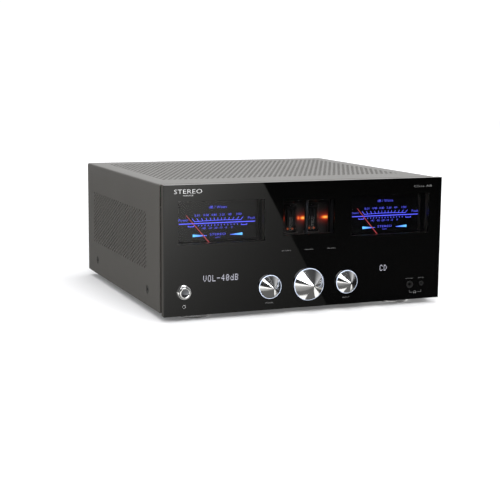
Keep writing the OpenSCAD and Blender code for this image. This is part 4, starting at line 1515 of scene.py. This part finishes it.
class AMP_OT_controls(bpy.types.Operator):
    """Turn the knobs, the power button and the jack collars"""

    bl_idname = "amplifier.controls"
    bl_label = "Controls"

    def execute(self, context):
        sizes = settings().knob
        metal = self.spun(sizes.metal)
        dark = moulded("mark_black", (0.02, 0.02, 0.02), 0.4)
        # The rim rings' pale blue is a painted highlight along each knob's edge.
        rim_highlight = moulded("rim_highlight_ring", (0.62, 0.7, 0.86), 0.35)
        for body in ("mode", "volume", "input"):
            node = body + "_knob"
            fit(turned_knob(node), body, metal, "knob_aluminium", node)
            fit(knob_mark(node), body, dark, "knob_aluminium")
            fit(knob_rim(node), body, rim_highlight, "knob_aluminium")
        key, dish = push_button()
        fit(key, "power", metal, "knob_aluminium", "power_button")
        # The dish is the button's metal made dark grey: painted shade in the dish.
        dish_shade = plated("dish_shade_metal", (0.2, 0.21, 0.23), 0.12)
        fit(dish, "power", dish_shade, "knob_aluminium")
        fit(button_surround(), "chassis", metal, "knob_aluminium", "power_bezel")
        # The jack collars are plated metal drawn as plain grey paint: their brightness is a painted
        # reflection, lighter on the headphone jack than on the aux jack.
        nickel = moulded("jack_collar_sheen", (0.34, 0.33, 0.3), 0.3)
        grey = moulded("aux_collar_sheen", (0.09, 0.09, 0.09), 0.35)
        fit(jack_collar("headphone_jack", 5.2 * MM, 3.3 * MM, 0.95 * MM), "chassis", nickel, "jack_nickel")
        fit(jack_collar("aux_jack", 3.4 * MM, 1.9 * MM, 0.75 * MM), "chassis", grey, "jack_nickel")
        wear("headphone_jack", moulded("jack_body", (0.01, 0.01, 0.01), 0.4))
        wear("aux_jack", moulded("jack_body_small", (0.01, 0.01, 0.01), 0.4))
        return {"FINISHED"}

    @staticmethod
    def spun(colour):
        """Polished metal as the lathe leaves it."""
        f = Finish("spun_metal", colour, 0.1, 1.0)
        cloud = f.noise(180, 2)
        f.set("Base Color", f.mix(cloud, tint(colour, 0.96), tint(colour, 1.02)))
        f.set("Roughness", cloud * 0.06 + 0.1)
        return f.material


class AMP_OT_feet(bpy.types.Operator):
    """Turn the four feet and their rubber pads"""

    bl_idname = "amplifier.feet"
    bl_label = "Feet"

    def execute(self, context):
        low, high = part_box("foot_rings")
        r = 24.7 * MM
        rings, pads = [], []
        for x in (low.x + r, high.x - r):
            for y in (low.y + r, high.y - r):
                rings.append(foot_ring(x, y))
                pads.append(foot_pad(x, y))
        bright = plated("foot_plate", (0.78, 0.78, 0.8), 0.2)
        fit(join("feet", rings), "chassis", bright, "foot_silver", "foot_rings")
        rubber = moulded("rubber", (0.02, 0.02, 0.02), 0.7, 0.05)
        fit(join("pads", pads), "chassis", rubber, "pad_rubber", "foot_pads")
        wear("foot_screws", plated("zinc", (0.6, 0.6, 0.58), 0.3))
        return {"FINISHED"}


class AMP_OT_rear(bpy.types.Operator):
    """Model the rear panel's caps, nut, screws, collars and labels"""

    bl_idname = "amplifier.rear"
    bl_label = "Rear"

    def execute(self, context):
        black = moulded("cap_black", (0.012, 0.012, 0.012), 0.35)
        red = moulded("cap_red", (0.45, 0.015, 0.012), 0.35)
        for i, finish in enumerate((black, red, black, red), 1):
            node = "post_cap_%d" % i
            fit(binding_cap(node), "post_%d" % i, finish, "cap_red" if finish is red else "cap_black", node)
        nickel = plated("terminal_plate", (0.72, 0.71, 0.68), 0.2)
        fit(thumb_nut(), "nut", nickel, "terminal_nickel", "ground_nut")
        wear("ground_terminal", nickel)
        places = [at(x * MM, PANEL[1].y, 182.3 * MM) @ turn(-90, "X") for x in (-150, -50, 50, 150)]
        places += [at(x * MM, COVER[1].y, z * MM) @ turn(-90, "X") for x in (-209.25, 209.25)
                   for z in (40, 90, 140)]
        screws = copies("rear_heads", cross_screw(), places)
        zinc = plated("black_zinc", (0.05, 0.05, 0.052), 0.35)
        fit(screws, "chassis", zinc, "screw_black", "rear_screws")
        gold = plated("gold_plate", (0.83, 0.6, 0.26), 0.18)
        wear("rca_sockets", gold)
        wear("speaker_terminals", gold)
        white = moulded("collar_white", (0.75, 0.75, 0.72), 0.4)
        crimson = moulded("collar_red", (0.55, 0.02, 0.02), 0.4)
        fit(join("upper_collars", socket_collars(158 * MM)), "chassis", white, "socket_gold")
        fit(join("lower_collars", socket_collars(140 * MM)), "chassis", crimson, "socket_gold")
        plastic = moulded("socket_black", (0.015, 0.015, 0.016), 0.4)
        for node in ("xlr_sockets", "digital_sockets", "mains_inlet", "mains_switch"):
            wear(node, plastic)
        wear("mains_rocker", moulded("rocker_black", (0.02, 0.02, 0.02), 0.25))
        wear("rear_panel", painted("panel_black", (0.016, 0.016, 0.017), 0.45))
        label = ink("label_white", (0.6, 0.6, 0.6))
        fit(join("rear_labels", self.labels()), "chassis", label, "chassis_steel")
        return {"FINISHED"}

    @staticmethod
    def labels():
        """The words and lines printed on the rear panel."""
        y = PANEL[1].y
        parts = []

        def say(words, x, z, height=2.6, width=None):
            parts.append(lettering(words, height * MM, (x * MM, y, z * MM), OUT_REAR,
                                   width * MM if width else None))

        for i, words in enumerate(("PHONO", "CD", "TUNER", "AUX", "TAPE", "PRE OUT")):
            say(words, -190 + 20 * i, 169.5, 2.4)
        say("L", -201.5, 158, 2.4)
        say("R", -201.5, 140, 2.4)
        say("BALANCED IN", -39, 171, 2.4)
        say("L", -56, 130, 2.4)
        say("R", -22, 130, 2.4)
        for x, words in ((24, "COAXIAL"), (64, "OPTICAL"), (92, "USB"), (112, "TRIGGER")):
            say(words, x, 161, 2.2)
        say("GROUND", -196, 101, 2.2)
        say("SPEAKERS A", -62, 80, 2.8)
        say("SPEAKERS B", 62, 80, 2.8)
        for x in (-78, 46):
            say("-", x, 46, 3)
        for x in (-46, 78):
            say("+", x, 46, 3)
        say("POWER", 165, 121, 2.4)
        say("AC IN", 165, 41, 2.4)
        return parts


class AMP_OT_chassis(bpy.types.Operator):
    """Give the chassis and everything inside it their finishes"""

    bl_idname = "amplifier.chassis"
    bl_label = "Chassis"

    def execute(self, context):
        steel = brushed("zinc_steel", (0.42, 0.42, 0.43), 0, 0.4, 0.004)
        wear("chassis_tray", painted("tray_paint", (0.03, 0.03, 0.03), 0.45))
        wear("front_subpanel", unlit("subpanel_paint", (0.005, 0.005, 0.005)))
        board = self.laminate()
        for node in ("control_board", "amp_boards", "supply_board", "input_board"):
            wear(node, board)
        for node in ("encoders", "output_transistors"):
            wear(node, moulded(node + "_case", (0.03, 0.03, 0.03), 0.4))
        for node in ("volume_shaft", "mode_shaft", "input_shaft"):
            wear(node, steel)
        wear("power_switch", moulded("switch_case", (0.02, 0.02, 0.02), 0.4))
        for node in ("left_display", "right_display"):
            wear(node, glazed(node + "_face", (0.0008, 0.0008, 0.001)))
        wear("transformer", moulded("winding_tape", (0.25, 0.13, 0.03), 0.4, 0.1))
        wear("transformer_clamp", steel)
        wear("filter_capacitors", moulded("sleeve", (0.012, 0.016, 0.03), 0.3))
        wear("heatsinks", painted("anodised_black", (0.015, 0.015, 0.015), 0.4))
        wear("board_standoffs", plated("brass", (0.7, 0.5, 0.2), 0.3))
        wear("ribbon_cable", moulded("ribbon", (0.35, 0.35, 0.36), 0.5, 0.2))
        return {"FINISHED"}

    @staticmethod
    def laminate():
        """Green board with faint tracks."""
        f = Finish("green_board", (0.01, 0.07, 0.03), 0.35)
        tracks = f.node("ShaderNodeTexBrick", {}, {"Vector": f.place((1, 1, 1)), "Scale": 240.0,
                                                   "Mortar Size": 0.06, "Color1": (1, 1, 1, 1),
                                                   "Color2": (1, 1, 1, 1), "Mortar": (0, 0, 0, 1)}, 1)
        f.set("Base Color", f.mix(tracks, (0.01, 0.07, 0.03), (0.02, 0.12, 0.05)))
        f.bump(tracks, 0.03 * MM)
        return f.material


class AMP_PT_panel(bpy.types.Panel):
    """Lists the operators and the settings."""

    bl_idname = "AMP_PT_panel"
    bl_label = "Integrated Amplifier"
    bl_space_type = "VIEW_3D"
    bl_region_type = "UI"
    bl_category = "Amplifier"

    def draw(self, context):
        for operator in OPERATORS:
            self.layout.operator(operator.bl_idname)
        for group in ("cover", "front", "meter", "knob", "valve", "stage"):
            box = self.layout.box()
            box.label(text=group.title())
            values = getattr(context.scene.amplifier, group)
            for key in values.bl_rna.properties.keys():
                if key not in ("rna_type", "name"):
                    box.prop(values, key)


SETTINGS = (CoverSettings, FrontSettings, MeterSettings, KnobSettings, ValveSettings, StageSettings,
            AmplifierSettings)
OPERATORS = (AMP_OT_stage, AMP_OT_cover, AMP_OT_front, AMP_OT_meters, AMP_OT_valves, AMP_OT_controls,
             AMP_OT_feet, AMP_OT_rear, AMP_OT_chassis)


def register():
    for kind in SETTINGS + OPERATORS + (AMP_PT_panel,):
        bpy.utils.register_class(kind)
    bpy.types.Scene.amplifier = bpy.props.PointerProperty(type=AmplifierSettings)


def unregister():
    del bpy.types.Scene.amplifier
    for kind in reversed(SETTINGS + OPERATORS + (AMP_PT_panel,)):
        bpy.utils.unregister_class(kind)


def main():
    """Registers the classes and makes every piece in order."""
    register()
    bpy.ops.amplifier.stage()
    bpy.ops.amplifier.cover()
    bpy.ops.amplifier.front()
    bpy.ops.amplifier.meters()
    bpy.ops.amplifier.valves()
    bpy.ops.amplifier.controls()
    bpy.ops.amplifier.feet()
    bpy.ops.amplifier.rear()
    bpy.ops.amplifier.chassis()
    start()


if __name__ == "__main__":
    main()
